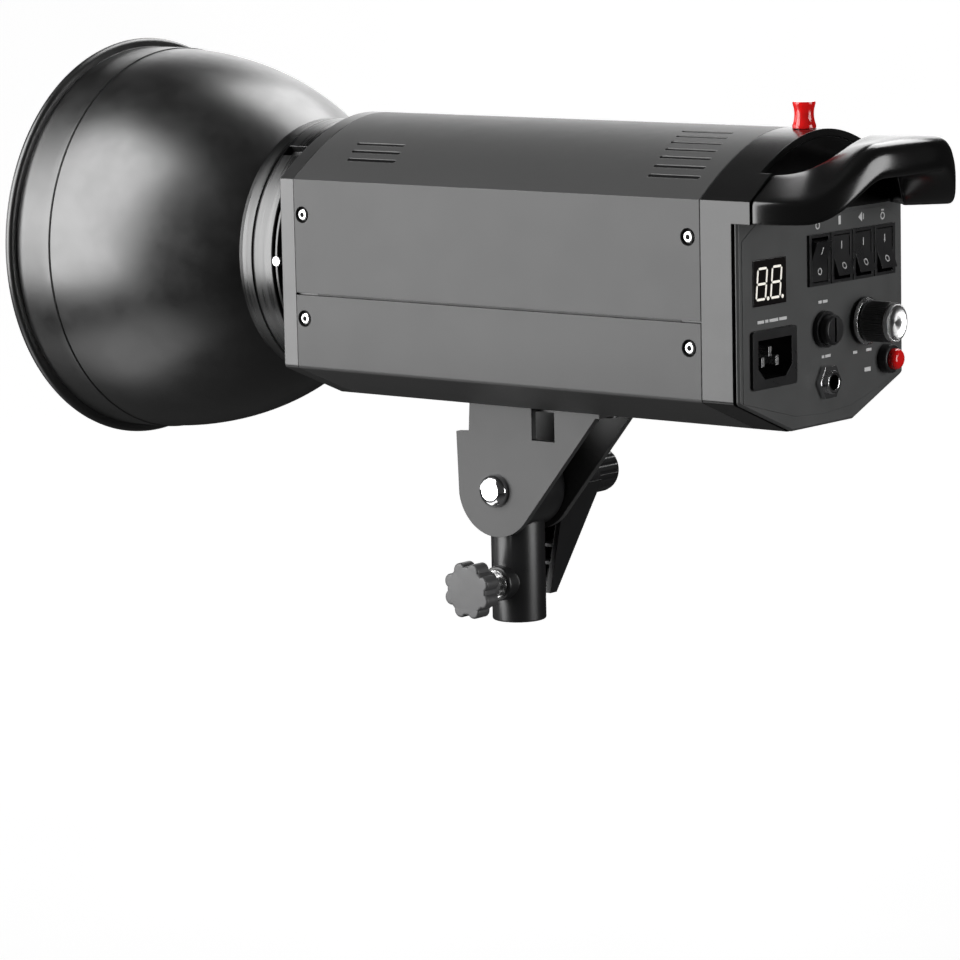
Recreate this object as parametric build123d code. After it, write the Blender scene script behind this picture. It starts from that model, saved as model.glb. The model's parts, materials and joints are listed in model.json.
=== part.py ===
from build123d import *
import math
import os

# Monolight strobe: a studio flash head with its reflector, on a tilting stand bracket.
# Millimetres. The origin is the centre of the stand socket's mouth. +Z is up, the light
# shines towards -X, the control panel faces +X, and -Y is the operator's left side.

os.makedirs("parts", exist_ok=True)

# ---- Driving dimensions ------------------------------------------------------------

# Casing, drawn across the light axis
LIGHT_Z = 158.0                 # height of the light axis above the socket's mouth
HALF_WIDTH = 59.0
CREST_Z = LIGHT_Z + 61.0        # top of the arched roof
EAVE_Z = LIGHT_Z + 36.2         # where the roof meets the flat sides
SEAM_Z = LIGHT_Z - 13.3         # joint between the upper and lower shells
KEEL_Z = LIGHT_Z - 45.7         # where the sides meet the sloping underside
FLOOR_Z = LIGHT_Z - 61.0
FLOOR_HALF = 22.0               # half width of the flat floor
EAVE_SLOPE = 37.0               # degrees, roof slope at the eaves
WALL = 1.6
SEAM_GAP = 1.0
CORNER_R = 2.0
WIDE = 80.0                     # half width of a cut that spans the whole casing

# Stations along the light axis
RIM_X = -219.0                  # front edge of the reflector
BEZEL_X = -82.0
SHELL_X0 = -72.7
SHELL_X1 = 144.0
COVER_X1 = 159.6                # rear edge of the rear cover, below the hood
HOOD_X1 = 163.4                 # rear edge of the hood over the top of the panel
HOOD_Z = LIGHT_Z + 27.2         # lower edge of the hood
EAR_X1 = 168.8                  # rear edge of the ears that meet the handle's legs
PANEL_X0 = 161.1
PANEL_X1 = 162.4
FACE_X = 162.6                  # face of the control overlay
SKIRT = 11.0                    # how far the end covers reach inside the shells

# Fits
GAP = 0.1                       # between parts that only sit next to each other
RUNNING = 0.05                  # radial clearance of a running fit

# Tilting bracket and stand socket
PIVOT_Z = 58.5
CHEEK_Y0 = 12.0
CHEEK_Y1 = 15.0
PLATE_T = 3.0
BOLT_R = 4.0
HUB_R = 18.5
HUB_HALF = 10.8
SLEEVE_R = 11.8
SPIGOT_BORE_R = 8.1
SPIGOT_DEPTH = 36.0
LOCK_Z = 17.5
LOCK_R = 4.0
LOCK_BOSS_Y = -15.6             # outer end of the lock screw's boss
INSERT_R = 6.0
SLEEVE_TOP_Z = 44.6


# ---- Helpers -----------------------------------------------------------------------

def rod_x(radius, x0, x1, y=0.0, z=LIGHT_Z):
    """A cylinder along X between two stations."""
    return Pos((x0 + x1) / 2, y, z) * Rot(0, 90, 0) * Cylinder(radius, x1 - x0)


def rod_y(radius, y0, y1, x=0.0, z=PIVOT_Z):
    """A cylinder along Y between two stations."""
    return Pos(x, (y0 + y1) / 2, z) * Rot(90, 0, 0) * Cylinder(radius, y1 - y0)


def rod_z(radius, z0, z1, x=0.0, y=0.0):
    """An upright cylinder between two heights."""
    return Pos(x, y, (z0 + z1) / 2) * Cylinder(radius, z1 - z0)


def block(x0, x1, y0, y1, z0, z1):
    """A box from its lowest to its highest corner."""
    centre = Pos((x0 + x1) / 2, (y0 + y1) / 2, (z0 + z1) / 2)
    return centre * Box(x1 - x0, y1 - y0, z1 - z0)


def along_x(face, x0, x1):
    """A flat shape drawn in Y and Z, stretched between two stations."""
    return extrude(Plane.YZ.offset(x0) * face, x1 - x0)


def along_y(face, y0, y1):
    """A flat shape drawn in X and Z, stretched between two stations."""
    return extrude(Plane.XZ.offset(-y1) * face, y1 - y0)


def hex_x(across, x0, x1, y, z):
    """A hexagonal bar along X, given its size across flats."""
    return along_x(Pos(y, z) * RegularPolygon(across / math.sqrt(3), 6), x0, x1)


def turned(outline):
    """A solid turned about the light axis from an outline drawn in X and Z."""
    return revolve(Plane.XZ * outline, Axis((0, 0, LIGHT_Z), (1, 0, 0)))


def polygon(points):
    """A flat shape with straight sides."""
    return make_face(Polyline(*points, close=True))


def save(node, shape):
    """Write one named piece."""
    shape.label = node
    export_step(shape, f"parts/{node}.step")


def group(solids):
    """Several separate solids of one kind, kept in one node."""
    return Compound(children=list(solids))


# ---- Casing ------------------------------------------------------------------------

def casing_outline(inset=0.0):
    """The casing's section: flat floor, sloping underside, flat sides and arched roof."""
    half = HALF_WIDTH - inset
    eave = EAVE_Z - 0.3 * inset
    keel = KEEL_Z + 0.2 * inset
    floor = FLOOR_Z + inset
    floor_half = FLOOR_HALF - 0.2 * inset
    slope = math.radians(EAVE_SLOPE)
    rise = (math.cos(slope), math.sin(slope))
    fall = (math.cos(slope), -math.sin(slope))
    roof = Spline((-half, eave), (0, CREST_Z - inset), (half, eave), tangents=[rise, fall])
    sides = Polyline((half, eave), (half, keel), (floor_half, floor),
                     (-floor_half, floor), (-half, keel), (-half, eave))
    face = make_face(roof + sides)
    lower = [v for v in face.vertices() if v.Y < EAVE_Z - inset - 1]
    return fillet(lower, CORNER_R)


def casing_ring(inset, thickness, x0, x1):
    """A hoop that follows the casing's section."""
    outer = along_x(casing_outline(inset), x0, x1)
    return outer - along_x(casing_outline(inset + thickness), x0 - 1, x1 + 1)


CASING_SCREW_X = (-68.4, 138.0)
CASING_SCREW_Z = (LIGHT_Z + 21.0, LIGHT_Z - 24.0)
CASING_SCREW_HEAD_R = 2.6
CASING_SCREW_CLEARANCE = 1.0    # dark ring left round each screw head


def casing_screw_places():
    return [(x, side, z) for x in CASING_SCREW_X for side in (-1, 1) for z in CASING_SCREW_Z]


def casing_screw_cuts(radius):
    """Holes through both side walls on the screw axes."""
    reach = HALF_WIDTH + 1
    return [rod_y(radius, -reach, -reach + 8, x, z) if side < 0
            else rod_y(radius, reach - 8, reach, x, z)
            for x, side, z in casing_screw_places()]


VENT_W = 1.8


def roof_slot(x0, length, y):
    """A cooling slot through the roof, running along the casing."""
    slot = Pos(x0 + length / 2, y) * SlotOverall(length, VENT_W)
    return extrude(Plane.XY.offset(EAVE_Z - 4) * slot, CREST_Z - EAVE_Z + 8)


def vents():
    """Three slots near the front and seven staggered slots near the rear, on each side."""
    cuts = []
    for side in (-1, 1):
        for row in range(3):
            cuts.append(roof_slot(-52.0 - 1.5 * row, 27.0, side * (47.0 - 5.0 * row)))
        for row in range(7):
            cuts.append(roof_slot(110.5 - 1.2 * row, 26.0, side * (48.0 - 5.5 * row)))
    return cuts


def upper_shell():
    shell = casing_ring(0, WALL, SHELL_X0, SHELL_X1)
    keep = block(SHELL_X0, SHELL_X1, -WIDE, WIDE, SEAM_Z + SEAM_GAP / 2, CREST_Z + 5)
    shell = shell & keep
    return shell - vents() - casing_screw_cuts(CASING_SCREW_HEAD_R + CASING_SCREW_CLEARANCE)


BRACKET_SCREWS = [(x, y) for x in (4.0, 46.0) for y in (-7.0, 7.0)]
BRACKET_SCREW_R = 2.4


def lower_shell():
    shell = casing_ring(0, WALL, SHELL_X0, SHELL_X1)
    keep = block(SHELL_X0, SHELL_X1, -WIDE, WIDE, FLOOR_Z - 5, SEAM_Z - SEAM_GAP / 2)
    shell = shell & keep
    inner = HALF_WIDTH - WALL
    x0, x1 = SHELL_X0 + SKIRT + GAP, SHELL_X1 - SKIRT - GAP
    for side in (-1, 1):
        root = sorted((side * (inner - 1.1), side * (inner + 0.2)))
        tip = sorted((side * (inner - 1.1), side * (inner - GAP)))
        shell += block(x0, x1, *root, SEAM_Z - 6, SEAM_Z - SEAM_GAP / 2)
        shell += block(x0, x1, *tip, SEAM_Z - SEAM_GAP / 2, SEAM_Z + 5)
    holes = [rod_z(BRACKET_SCREW_R + 0.2, FLOOR_Z - 5, FLOOR_Z + 5, x, y) for x, y in BRACKET_SCREWS]
    return shell - holes - casing_screw_cuts(CASING_SCREW_HEAD_R + CASING_SCREW_CLEARANCE)


LAMP_OPENING_R = 46.0


def front_bezel():
    """A thick front frame with a skirt that carries the front casing screws."""
    plate = along_x(casing_outline(0), BEZEL_X, SHELL_X0 - 0.2)
    plate = chamfer(plate.faces().sort_by(Axis.X)[0].edges(), 1.6)
    skirt = casing_ring(WALL + GAP, 3.0, SHELL_X0 - 0.2, SHELL_X0 + SKIRT)
    opening = rod_x(LAMP_OPENING_R, BEZEL_X - 5, SHELL_X0 + 5)
    return plate + skirt - opening - casing_screw_cuts(1.5)


SLAVE_X = 154.2
SLAVE_STEM_R = 3.0
COVER_T = 3.0
HANDLE_LEG_Y = 44.0             # inner edge of each handle leg


def above_hood_edge(x0, x1, y0, y1):
    """The space above the hood's lower edge, between two stations and two sides."""
    return block(x0, x1, y0, y1, HOOD_Z, CREST_Z + 5)


def rear_cover():
    """The glossy hoop behind the shells: skirt, hood over the panel and an ear at each leg."""
    hoop = casing_ring(0, COVER_T, SHELL_X1 + 0.3, COVER_X1)
    skirt = casing_ring(WALL + GAP, COVER_T, SHELL_X1 - SKIRT, SHELL_X1 + 2.3)
    neck = casing_ring(2.2, COVER_T, COVER_X1 - 2, PANEL_X0)
    hood = casing_ring(0, COVER_T, COVER_X1, HOOD_X1) & above_hood_edge(COVER_X1, HOOD_X1, -WIDE, WIDE)
    ears = casing_ring(0, COVER_T, HOOD_X1, EAR_X1)
    ears = ears & (above_hood_edge(HOOD_X1, EAR_X1, -WIDE, -HANDLE_LEG_Y)
                   + above_hood_edge(HOOD_X1, EAR_X1, HANDLE_LEG_Y, WIDE))
    sensor_hole = rod_z(SLAVE_STEM_R + 0.1, CREST_Z - 10, CREST_Z + 5, SLAVE_X)
    return hoop + skirt + neck + hood + ears - sensor_hole - casing_screw_cuts(1.5)


def casing_screws():
    """Eight button-head screws, four on each side, each seated in its own round recess."""
    solids = []
    for x, side, z in casing_screw_places():
        skin = HALF_WIDTH - WALL - GAP
        head = rod_y(CASING_SCREW_HEAD_R, skin + 0.02, HALF_WIDTH - 0.1, x, z)
        head = fillet(head.faces().sort_by(Axis.Y)[-1].edges(), 0.9)
        shank = rod_y(1.45, skin - 6, skin + 0.1, x, z)
        socket = rod_y(1.1, HALF_WIDTH - 1.3, HALF_WIDTH, x, z)
        screw = head + shank - socket
        solids.append(screw if side > 0 else mirror(screw, Plane.XZ))
    return group(solids)


# ---- Rear panel and its controls ------------------------------------------------------

DISPLAY_Y, DISPLAY_Z = -37.6, LIGHT_Z + 2.2
DISPLAY_W, DISPLAY_H = 22.8, 18.6
INLET_Y, INLET_Z = -35.8, LIGHT_Z - 28.8
INLET_W, INLET_H = 30.6, 23.8
ROCKER_PITCH = 15.7
ROCKER_Y0 = -3.2                # centre of the first switch
ROCKER_Z = LIGHT_Z + 7.8
ROCKER_W, ROCKER_H = 15.0, 21.0
ROCKER_AXIS_X = 160.6           # pivot pins, just behind the panel's face
ROCKER_TILT = 9.0               # degrees either way from level
FUSE_Y, FUSE_Z = 0.0, LIGHT_Z - 21.0
JACK_Y, JACK_Z = 2.0, LIGHT_Z - 43.0
KNOB_Y, KNOB_Z = 29.0, LIGHT_Z - 20.5
BUTTON_Y, BUTTON_Z = 45.0, LIGHT_Z - 38.0
ROCKER_NAMES = ("power_rocker", "model_rocker", "beep_rocker", "slave_rocker")


def rocker_y(index):
    return ROCKER_Y0 + index * ROCKER_PITCH


def panel_cuts():
    """Openings for every control that passes through the rear panel."""
    x0, x1 = PANEL_X0 - 1, FACE_X + 1

    def window(y, z, width, height):
        return block(x0, x1, y - width / 2, y + width / 2, z - height / 2, z + height / 2)

    cuts = [window(DISPLAY_Y, DISPLAY_Z, DISPLAY_W + 0.2, DISPLAY_H + 0.2),
            window(INLET_Y, INLET_Z, 27.6, 20.2),
            rod_x(6.35, x0, x1, FUSE_Y, FUSE_Z),
            rod_x(4.6, x0, x1, JACK_Y, JACK_Z),
            rod_x(3.6, x0, x1, KNOB_Y, KNOB_Z),
            rod_x(5.0, x0, x1, BUTTON_Y, BUTTON_Z)]
    cuts += [window(rocker_y(i), ROCKER_Z, 13.4, 19.4) for i in range(4)]
    return cuts


def handle_screw_places():
    return [(side * 48.8, LIGHT_Z + 32.8) for side in (-1, 1)]


def rear_panel():
    """The flat panel: its rear rim is bevelled, and its top tucks inside the hood."""
    panel = along_x(casing_outline(0.3), PANEL_X0, PANEL_X1)
    panel = chamfer(panel.faces().sort_by(Axis.X)[-1].edges(), 0.9)
    hood_space = casing_ring(-2.0, COVER_T + 2.0 + GAP, PANEL_X0 - 1, PANEL_X1 + 1)
    panel -= hood_space & block(PANEL_X0 - 1, PANEL_X1 + 1, -WIDE, WIDE, HOOD_Z - GAP, CREST_Z + 5)
    holes = [rod_x(1.7, PANEL_X0 - 1, PANEL_X1 + 1, y, z) for y, z in handle_screw_places()]
    return panel - panel_cuts() - holes


def control_overlay():
    """The raised plate that carries the controls' markings."""
    top, shoulder, foot = LIGHT_Z + 26.0, LIGHT_Z + 20.0, LIGHT_Z - 45.5
    outline = polygon([(-56, foot), (-20, LIGHT_Z - 54.8), (0, LIGHT_Z - 56), (20, LIGHT_Z - 54.8),
                       (56, foot), (56, shoulder), (46, top), (-46, top), (-56, shoulder)])
    plate = along_x(outline, PANEL_X1, FACE_X)
    return plate - panel_cuts()


def display_module():
    return block(150, PANEL_X0 - 1.2, DISPLAY_Y - 12.5, DISPLAY_Y + 12.5, DISPLAY_Z - 9.5, DISPLAY_Z + 9.5)


def display_window():
    return block(PANEL_X0 - 1.0, FACE_X + 0.3, DISPLAY_Y - DISPLAY_W / 2, DISPLAY_Y + DISPLAY_W / 2,
                 DISPLAY_Z - DISPLAY_H / 2, DISPLAY_Z + DISPLAY_H / 2)


INLET_PIN_Y = (-5.0, 0.0, 5.0)
INLET_PIN_DZ = (-1.5, 2.5, -1.5)
PIN_TIP_X = 161.4


def inlet_housing():
    """A snap-in mains inlet with its cut-corner recess open to the rear."""
    flange = block(FACE_X, FACE_X + 1.4, INLET_Y - INLET_W / 2, INLET_Y + INLET_W / 2,
                   INLET_Z - INLET_H / 2, INLET_Z + INLET_H / 2)
    flange = fillet(flange.edges().filter_by(Axis.X), 1.5)
    can = block(143, FACE_X, INLET_Y - 13.6, INLET_Y + 13.6, INLET_Z - 9.9, INLET_Z + 9.9)
    recess = Pos(INLET_Y, INLET_Z) * polygon([(-11.6, 8.0), (11.6, 8.0), (11.6, -3.5),
                                              (7.2, -8.0), (-7.2, -8.0), (-11.6, -3.5)])
    body = flange + can - along_x(recess, 147, FACE_X + 5)
    for dy, dz in zip(INLET_PIN_Y, INLET_PIN_DZ):
        y, z = INLET_Y + dy, INLET_Z + dz
        body -= block(140, 148, y - 1.05, y + 1.05, z - 2.05, z + 2.05)
    return body


def inlet_pins():
    pins = []
    for dy, dz in zip(INLET_PIN_Y, INLET_PIN_DZ):
        y, z = INLET_Y + dy, INLET_Z + dz
        pins.append(block(136, PIN_TIP_X, y - 1, y + 1, z - 2, z + 2))
    return group(pins)


ROCKER_PIN_R = 1.0


def switch_housings():
    """Four switch bodies with flanges, each open in front for its rocker."""
    solids = []
    for index in range(4):
        y = rocker_y(index)
        flange = block(FACE_X, FACE_X + 1.2, y - ROCKER_W / 2, y + ROCKER_W / 2,
                       ROCKER_Z - ROCKER_H / 2, ROCKER_Z + ROCKER_H / 2)
        can = block(148, FACE_X, y - 6.6, y + 6.6, ROCKER_Z - 9.6, ROCKER_Z + 9.6)
        well = block(153, FACE_X + 5, y - 5.75, y + 5.75, ROCKER_Z - 9.2, ROCKER_Z + 9.2)
        pins = rod_y(ROCKER_PIN_R + RUNNING, y - 6.45, y + 6.45, ROCKER_AXIS_X, ROCKER_Z)
        solids.append(flange + can - well - pins)
    return group(solids)


def rocker(index):
    """One rocker on its two pins, resting on one side or the other."""
    y = rocker_y(index)
    paddle = polygon([(-5.0, -3.0), (0.0, -8.3), (4.3, -8.3), (2.9, 0.0),
                      (4.3, 8.3), (0.0, 8.3), (-5.0, 3.0)])
    body = along_y(paddle, y - 5.5, y + 5.5)
    body += rod_y(ROCKER_PIN_R, y - 6.4, y + 6.4, 0, 0)
    tilt = ROCKER_TILT if index == 0 else -ROCKER_TILT
    return Pos(ROCKER_AXIS_X, 0, ROCKER_Z) * Rot(0, tilt, 0) * body


FUSE_CAP_X0, FUSE_CAP_X1 = 165.0, 169.0


def fuse_holder():
    """A screw-in fuse holder: threaded barrel, flange and a bore for the cap and fuse."""
    barrel = rod_x(6.2, 134, FACE_X, FUSE_Y, FUSE_Z)
    flange = rod_x(7.5, FACE_X, FUSE_CAP_X0 - GAP, FUSE_Y, FUSE_Z)
    bore = rod_x(4.5, 136, FUSE_CAP_X0 + 1, FUSE_Y, FUSE_Z)
    return barrel + flange - bore


def fuse_cap():
    """The cap that turns in the fuse holder, with a screwdriver slot across its face."""
    cap = rod_x(6.3, FUSE_CAP_X0, FUSE_CAP_X1, FUSE_Y, FUSE_Z)
    cap = chamfer(cap.faces().sort_by(Axis.X)[-1].edges(), 0.8)
    plug = rod_x(4.5 - RUNNING, 158, FUSE_CAP_X0, FUSE_Y, FUSE_Z)
    slot = block(FUSE_CAP_X1 - 1.5, FUSE_CAP_X1 + 1, FUSE_Y - 0.7, FUSE_Y + 0.7, FUSE_Z - 5, FUSE_Z + 5)
    seat = rod_x(2.65, 157, 162, FUSE_Y, FUSE_Z)
    return cap + plug - slot - seat


def fuse():
    """A 5 x 20 mm glass fuse, carried by its cap."""
    return rod_x(2.6, 141.5, 161.5, FUSE_Y, FUSE_Z)


def sync_jack():
    """A 6.35 mm jack socket: moulded body and threaded barrel."""
    body = block(140, PANEL_X0 - GAP, JACK_Y - 8, JACK_Y + 8, JACK_Z - 7.5, JACK_Z + 7.5)
    barrel = rod_x(4.5, PANEL_X0 - 2, 166.6, JACK_Y, JACK_Z)
    return body + barrel - rod_x(3.2, 145, 168, JACK_Y, JACK_Z)


def jack_nut():
    nut = hex_x(13.0, FACE_X, FACE_X + 2.4, JACK_Y, JACK_Z)
    return nut - rod_x(4.55, FACE_X - 1, FACE_X + 5, JACK_Y, JACK_Z)


POT_SHAFT_R = 3.0
KNOB_X0, KNOB_X1 = 164.4, 177.6


def power_pot():
    """The power control behind the panel, with the bush that its shaft turns in."""
    can = rod_x(8.0, 150.5, PANEL_X0 - GAP, KNOB_Y, KNOB_Z)
    bush = rod_x(3.5, PANEL_X0 - 1, KNOB_X0 - 0.4, KNOB_Y, KNOB_Z)
    return can + bush - rod_x(POT_SHAFT_R + RUNNING, 152, 170, KNOB_Y, KNOB_Z)


def pot_shaft():
    return rod_x(POT_SHAFT_R, 152.5, KNOB_X1 - 4, KNOB_Y, KNOB_Z)


def power_knob():
    knob = rod_x(8.4, KNOB_X0, KNOB_X1, KNOB_Y, KNOB_Z)
    pointer = rod_x(9.9, KNOB_X0, KNOB_X0 + 1.6, KNOB_Y, KNOB_Z)
    return knob + pointer - rod_x(POT_SHAFT_R + 0.02, KNOB_X0 - 1, KNOB_X1 - 3.8, KNOB_Y, KNOB_Z)


def knob_cap():
    cap = rod_x(8.2, KNOB_X1, KNOB_X1 + 1.8, KNOB_Y, KNOB_Z)
    return chamfer(cap.faces().sort_by(Axis.X)[-1].edges(), 0.5)


BUTTON_R = 4.4
BUTTON_TRAVEL = 2.0


def button_bezel():
    """The round bezel and switch body that guide the test button."""
    ring = rod_x(6.0, FACE_X, 167, BUTTON_Y, BUTTON_Z)
    ring = chamfer(ring.faces().sort_by(Axis.X)[-1].edges(), 0.6)
    can = rod_x(4.9, 150, FACE_X, BUTTON_Y, BUTTON_Z)
    return ring + can - rod_x(BUTTON_R + RUNNING, 152, 170, BUTTON_Y, BUTTON_Z)


def test_button():
    """A domed push button."""
    button = rod_x(BUTTON_R, 156, 170.6, BUTTON_Y, BUTTON_Z)
    return fillet(button.faces().sort_by(Axis.X)[-1].edges(), 2.4)


def slave_lens():
    """The waisted red lens of the optical slave, on a stem through the rear cover's roof."""
    base = CREST_Z + 0.1
    outline = make_face(Line((0, base), (4.9, base)) + Line((4.9, base), (4.9, base + 1.2))
                        + ThreePointArc((4.9, base + 1.2), (4.0, base + 5.4), (4.7, base + 9.8))
                        + Line((4.7, base + 9.8), (4.7, base + 10.8))
                        + Line((4.7, base + 10.8), (0, base + 10.8))
                        + Line((0, base + 10.8), (0, base)))
    lens = Pos(SLAVE_X, 0, 0) * revolve(Plane.XZ * outline, Axis.Z)
    return lens + rod_z(SLAVE_STEM_R, CREST_Z - 9, base + 1, SLAVE_X)


# ---- Handle ------------------------------------------------------------------------

HANDLE_REACH = 48.9             # how far the bow stands out behind the panel
HANDLE_GAP = 24.0               # depth of the finger gap in the middle
HANDLE_CROWN = ((60, 34.0), (54, 36.5), (46, 41.5), (40, 47.0), (34, 53.5), (28, 57.8), (20, 59.3))
HANDLE_CROWN_TOP = 59.6
HANDLE_BELLY = ((60, 27.2), (52, 27.4), (46, 28.8), (40, 32.2), (34, 36.8), (28, 41.0), (20, 43.3))
HANDLE_BELLY_TOP = 43.6


def bow(half_width, reach, power):
    """A plan outline that bulges rearward: a superellipse cut off at the panel."""
    steps = 16
    points = []
    for n in range(steps + 1):
        angle = math.pi * (n / steps - 0.5)
        y = half_width * math.copysign(abs(math.sin(angle)) ** (2 / power), angle)
        points.append((PANEL_X1 + GAP + reach * abs(math.cos(angle)) ** (2 / power), y))
    points[0] = (PANEL_X1 + GAP, -half_width)
    points[-1] = (PANEL_X1 + GAP, half_width)
    return make_face(Spline(*points) + Line(points[-1], points[0]))


def bow_curve(half_points, middle_rise):
    """A symmetrical curve across the casing, given its left half as distance and rise."""
    left = [(-y, LIGHT_Z + rise) for y, rise in half_points]
    right = [(y, LIGHT_Z + rise) for y, rise in reversed(half_points)]
    return Spline(*left, (0, LIGHT_Z + middle_rise), *right)


def handle():
    """One moulding: a plate under the hood and a bow that swoops up from its two legs."""
    plan = bow(HALF_WIDTH - 0.4, HANDLE_REACH, 2.3) - bow(HANDLE_LEG_Y, HANDLE_GAP, 2.2)
    band = extrude(Plane.XY.offset(LIGHT_Z) * plan, 80)
    crown, belly = bow_curve(HANDLE_CROWN, HANDLE_CROWN_TOP), bow_curve(HANDLE_BELLY, HANDLE_BELLY_TOP)
    ends = Line(belly @ 0, crown @ 0) + Line(crown @ 1, belly @ 1)
    arch = make_face(crown + belly + ends)
    body = band & along_x(arch, PANEL_X1 - 5, PANEL_X1 + HANDLE_REACH + 20)
    body -= casing_ring(-2.0, COVER_T + 2.0 + GAP, PANEL_X1 - 1, EAR_X1 + GAP)
    plate = along_x(casing_outline(COVER_T + GAP), PANEL_X1 + GAP, HOOD_X1 - 0.3)
    body += plate & block(PANEL_X1, HOOD_X1, -WIDE, WIDE, HOOD_Z + GAP, CREST_Z)
    holes = [rod_x(1.5, PANEL_X1 - 1, PANEL_X1 + 9, y, z) for y, z in handle_screw_places()]
    return body - holes


def handle_screws():
    """Two screws, driven from inside the rear panel into the handle's legs."""
    solids = []
    for y, z in handle_screw_places():
        head = rod_x(2.8, PANEL_X0 - 2.2, PANEL_X0 - 0.02, y, z)
        solids.append(head + rod_x(1.45, PANEL_X0 - 1, PANEL_X1 + 8.5, y, z))
    return group(solids)


# ---- Light end ---------------------------------------------------------------------

MOUNT_R = 57.6
MOUNT_BORE_R = 50.0
BAND_X = -99.3                  # joint between the fixed ring and the reflector's collar
COLLAR_X = -108.5


def mount_ring():
    """The fixed bayonet ring, standing off the bezel on a narrower neck."""
    outline = polygon([(BEZEL_X, MOUNT_BORE_R), (BEZEL_X, 53.0), (-85.0, 53.0), (-85.0, 57.0),
                       (-86.6, 57.0), (-86.6, 56.0), (-87.8, 56.0), (-87.8, MOUNT_R),
                       (BAND_X, MOUNT_R), (BAND_X, MOUNT_BORE_R)])
    ring = turned(Pos(0, LIGHT_Z) * outline)
    notch = Pos(0, 0, LIGHT_Z) * Rot(32, 0, 0) * block(-97.5, -89.5, -2.2, 2.2, 54.8, 60)
    latch_slot = block(-86.9, -82.5, -58.5, -50.7, LIGHT_Z - 2.6, LIGHT_Z + 2.6)
    return ring - notch - latch_slot


def release_latch():
    """The bayonet release peg on the operator's side of the ring."""
    return rod_y(2.1, -58.4, -53.3, -84.7, LIGHT_Z)


def reflector_collar():
    """The reflector's bayonet collar: a band that turns inside the mount ring."""
    sleeve_r = MOUNT_BORE_R - RUNNING
    outline = polygon([(-86.0, sleeve_r - 2.0), (-86.0, sleeve_r), (BAND_X - GAP, sleeve_r),
                       (BAND_X - GAP, MOUNT_R), (COLLAR_X, MOUNT_R - 1.2), (COLLAR_X, sleeve_r - 2.0)])
    return turned(Pos(0, LIGHT_Z) * outline) - rivet_rods(RIVET_R)


LIP_R = 86.8
LIP_LEN = 25.0
BEAD_R = 2.3
DISH_T = 1.0
DISH_NECK_R = 55.5


def dish_outline():
    """Half section of the reflector: neck flange, elliptical bowl, straight lip, rolled bead."""
    centre_x = RIM_X + 17.0
    neck_x = COLLAR_X - GAP
    length = (neck_x - centre_x) / math.sqrt(1 - (DISH_NECK_R / LIP_R) ** 2)

    def wall(offset):
        radius = LIP_R - offset
        reach = length - offset
        start = (RIM_X + LIP_LEN - centre_x) / reach
        end = (neck_x - offset - centre_x) / reach
        first, last = math.degrees(math.acos(end)), math.degrees(math.acos(start))
        return EllipticalCenterArc((centre_x, LIGHT_Z), reach, radius, first,
                                   arc_size=last - first)

    outer, inner = wall(0), wall(DISH_T)
    ends = [outer @ 0, outer @ 1, inner @ 0, inner @ 1]
    lip_out = (RIM_X + 1.0, LIGHT_Z + LIP_R)
    lip_in = (RIM_X + 1.0, LIGHT_Z + LIP_R - DISH_T)
    groove = [(ends[1].X, ends[1].Y), (ends[1].X - 0.6, LIGHT_Z + LIP_R - 0.5),
              (ends[1].X - 1.4, LIGHT_Z + LIP_R), lip_out, lip_in, (ends[3].X, ends[3].Y)]
    flange_r = MOUNT_BORE_R - 3.0
    neck = [(ends[2].X, ends[2].Y), (neck_x - DISH_T, LIGHT_Z + flange_r),
            (neck_x, LIGHT_Z + flange_r), (ends[0].X, ends[0].Y)]
    return make_face(outer + Polyline(*groove) + inner + Polyline(*neck))


def reflector():
    """A spun dish with a rolled rim."""
    bead = Pos(RIM_X + BEAD_R, LIGHT_Z + LIP_R + BEAD_R - 0.4) * Circle(BEAD_R)
    dish = turned(dish_outline()) + turned(bead)
    return dish - rivet_rods(RIVET_R)


RIVET_COUNT = 4
RIVET_CIRCLE_R = 51.3
RIVET_R = 1.6


def rivet_places():
    angles = [math.radians(45 + n * 360 / RIVET_COUNT) for n in range(RIVET_COUNT)]
    return [(RIVET_CIRCLE_R * math.cos(a), LIGHT_Z + RIVET_CIRCLE_R * math.sin(a)) for a in angles]


def rivet_rods(radius):
    """Axial rods through the dish's neck flange, evenly spaced."""
    return [rod_x(radius, COLLAR_X - 4, COLLAR_X + 2, y, z) for y, z in rivet_places()]


def reflector_rivets():
    """Flat-headed rivets that hold the dish to its collar."""
    solids = []
    for y, z in rivet_places():
        head = rod_x(2.6, COLLAR_X - 2.4, COLLAR_X - GAP - DISH_T, y, z)
        solids.append(head + rod_x(RIVET_R - RUNNING, COLLAR_X - 2, COLLAR_X + 1.8, y, z))
    return group(solids)


TUBE_R = 31.0
TUBE_BORE = 4.0
TUBE_X = -102.0
TUBE_GAP = 18.0                 # half of the open angle between the legs, degrees


def tube_feet():
    angles = [math.radians(-90 + side * TUBE_GAP) for side in (-1, 1)]
    return [(TUBE_R * math.cos(a), LIGHT_Z + TUBE_R * math.sin(a)) for a in angles]


def lamp_plate():
    """A polished disc behind the tube and the lamp."""
    disc = rod_x(MOUNT_BORE_R - 4.5, BEZEL_X + 1, BEZEL_X + 2.5)
    holes = [rod_x(20.0, BEZEL_X, BEZEL_X + 4)]
    holes += [rod_x(2.2, BEZEL_X, BEZEL_X + 4, y, z) for y, z in tube_feet()]
    return disc - holes


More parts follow.
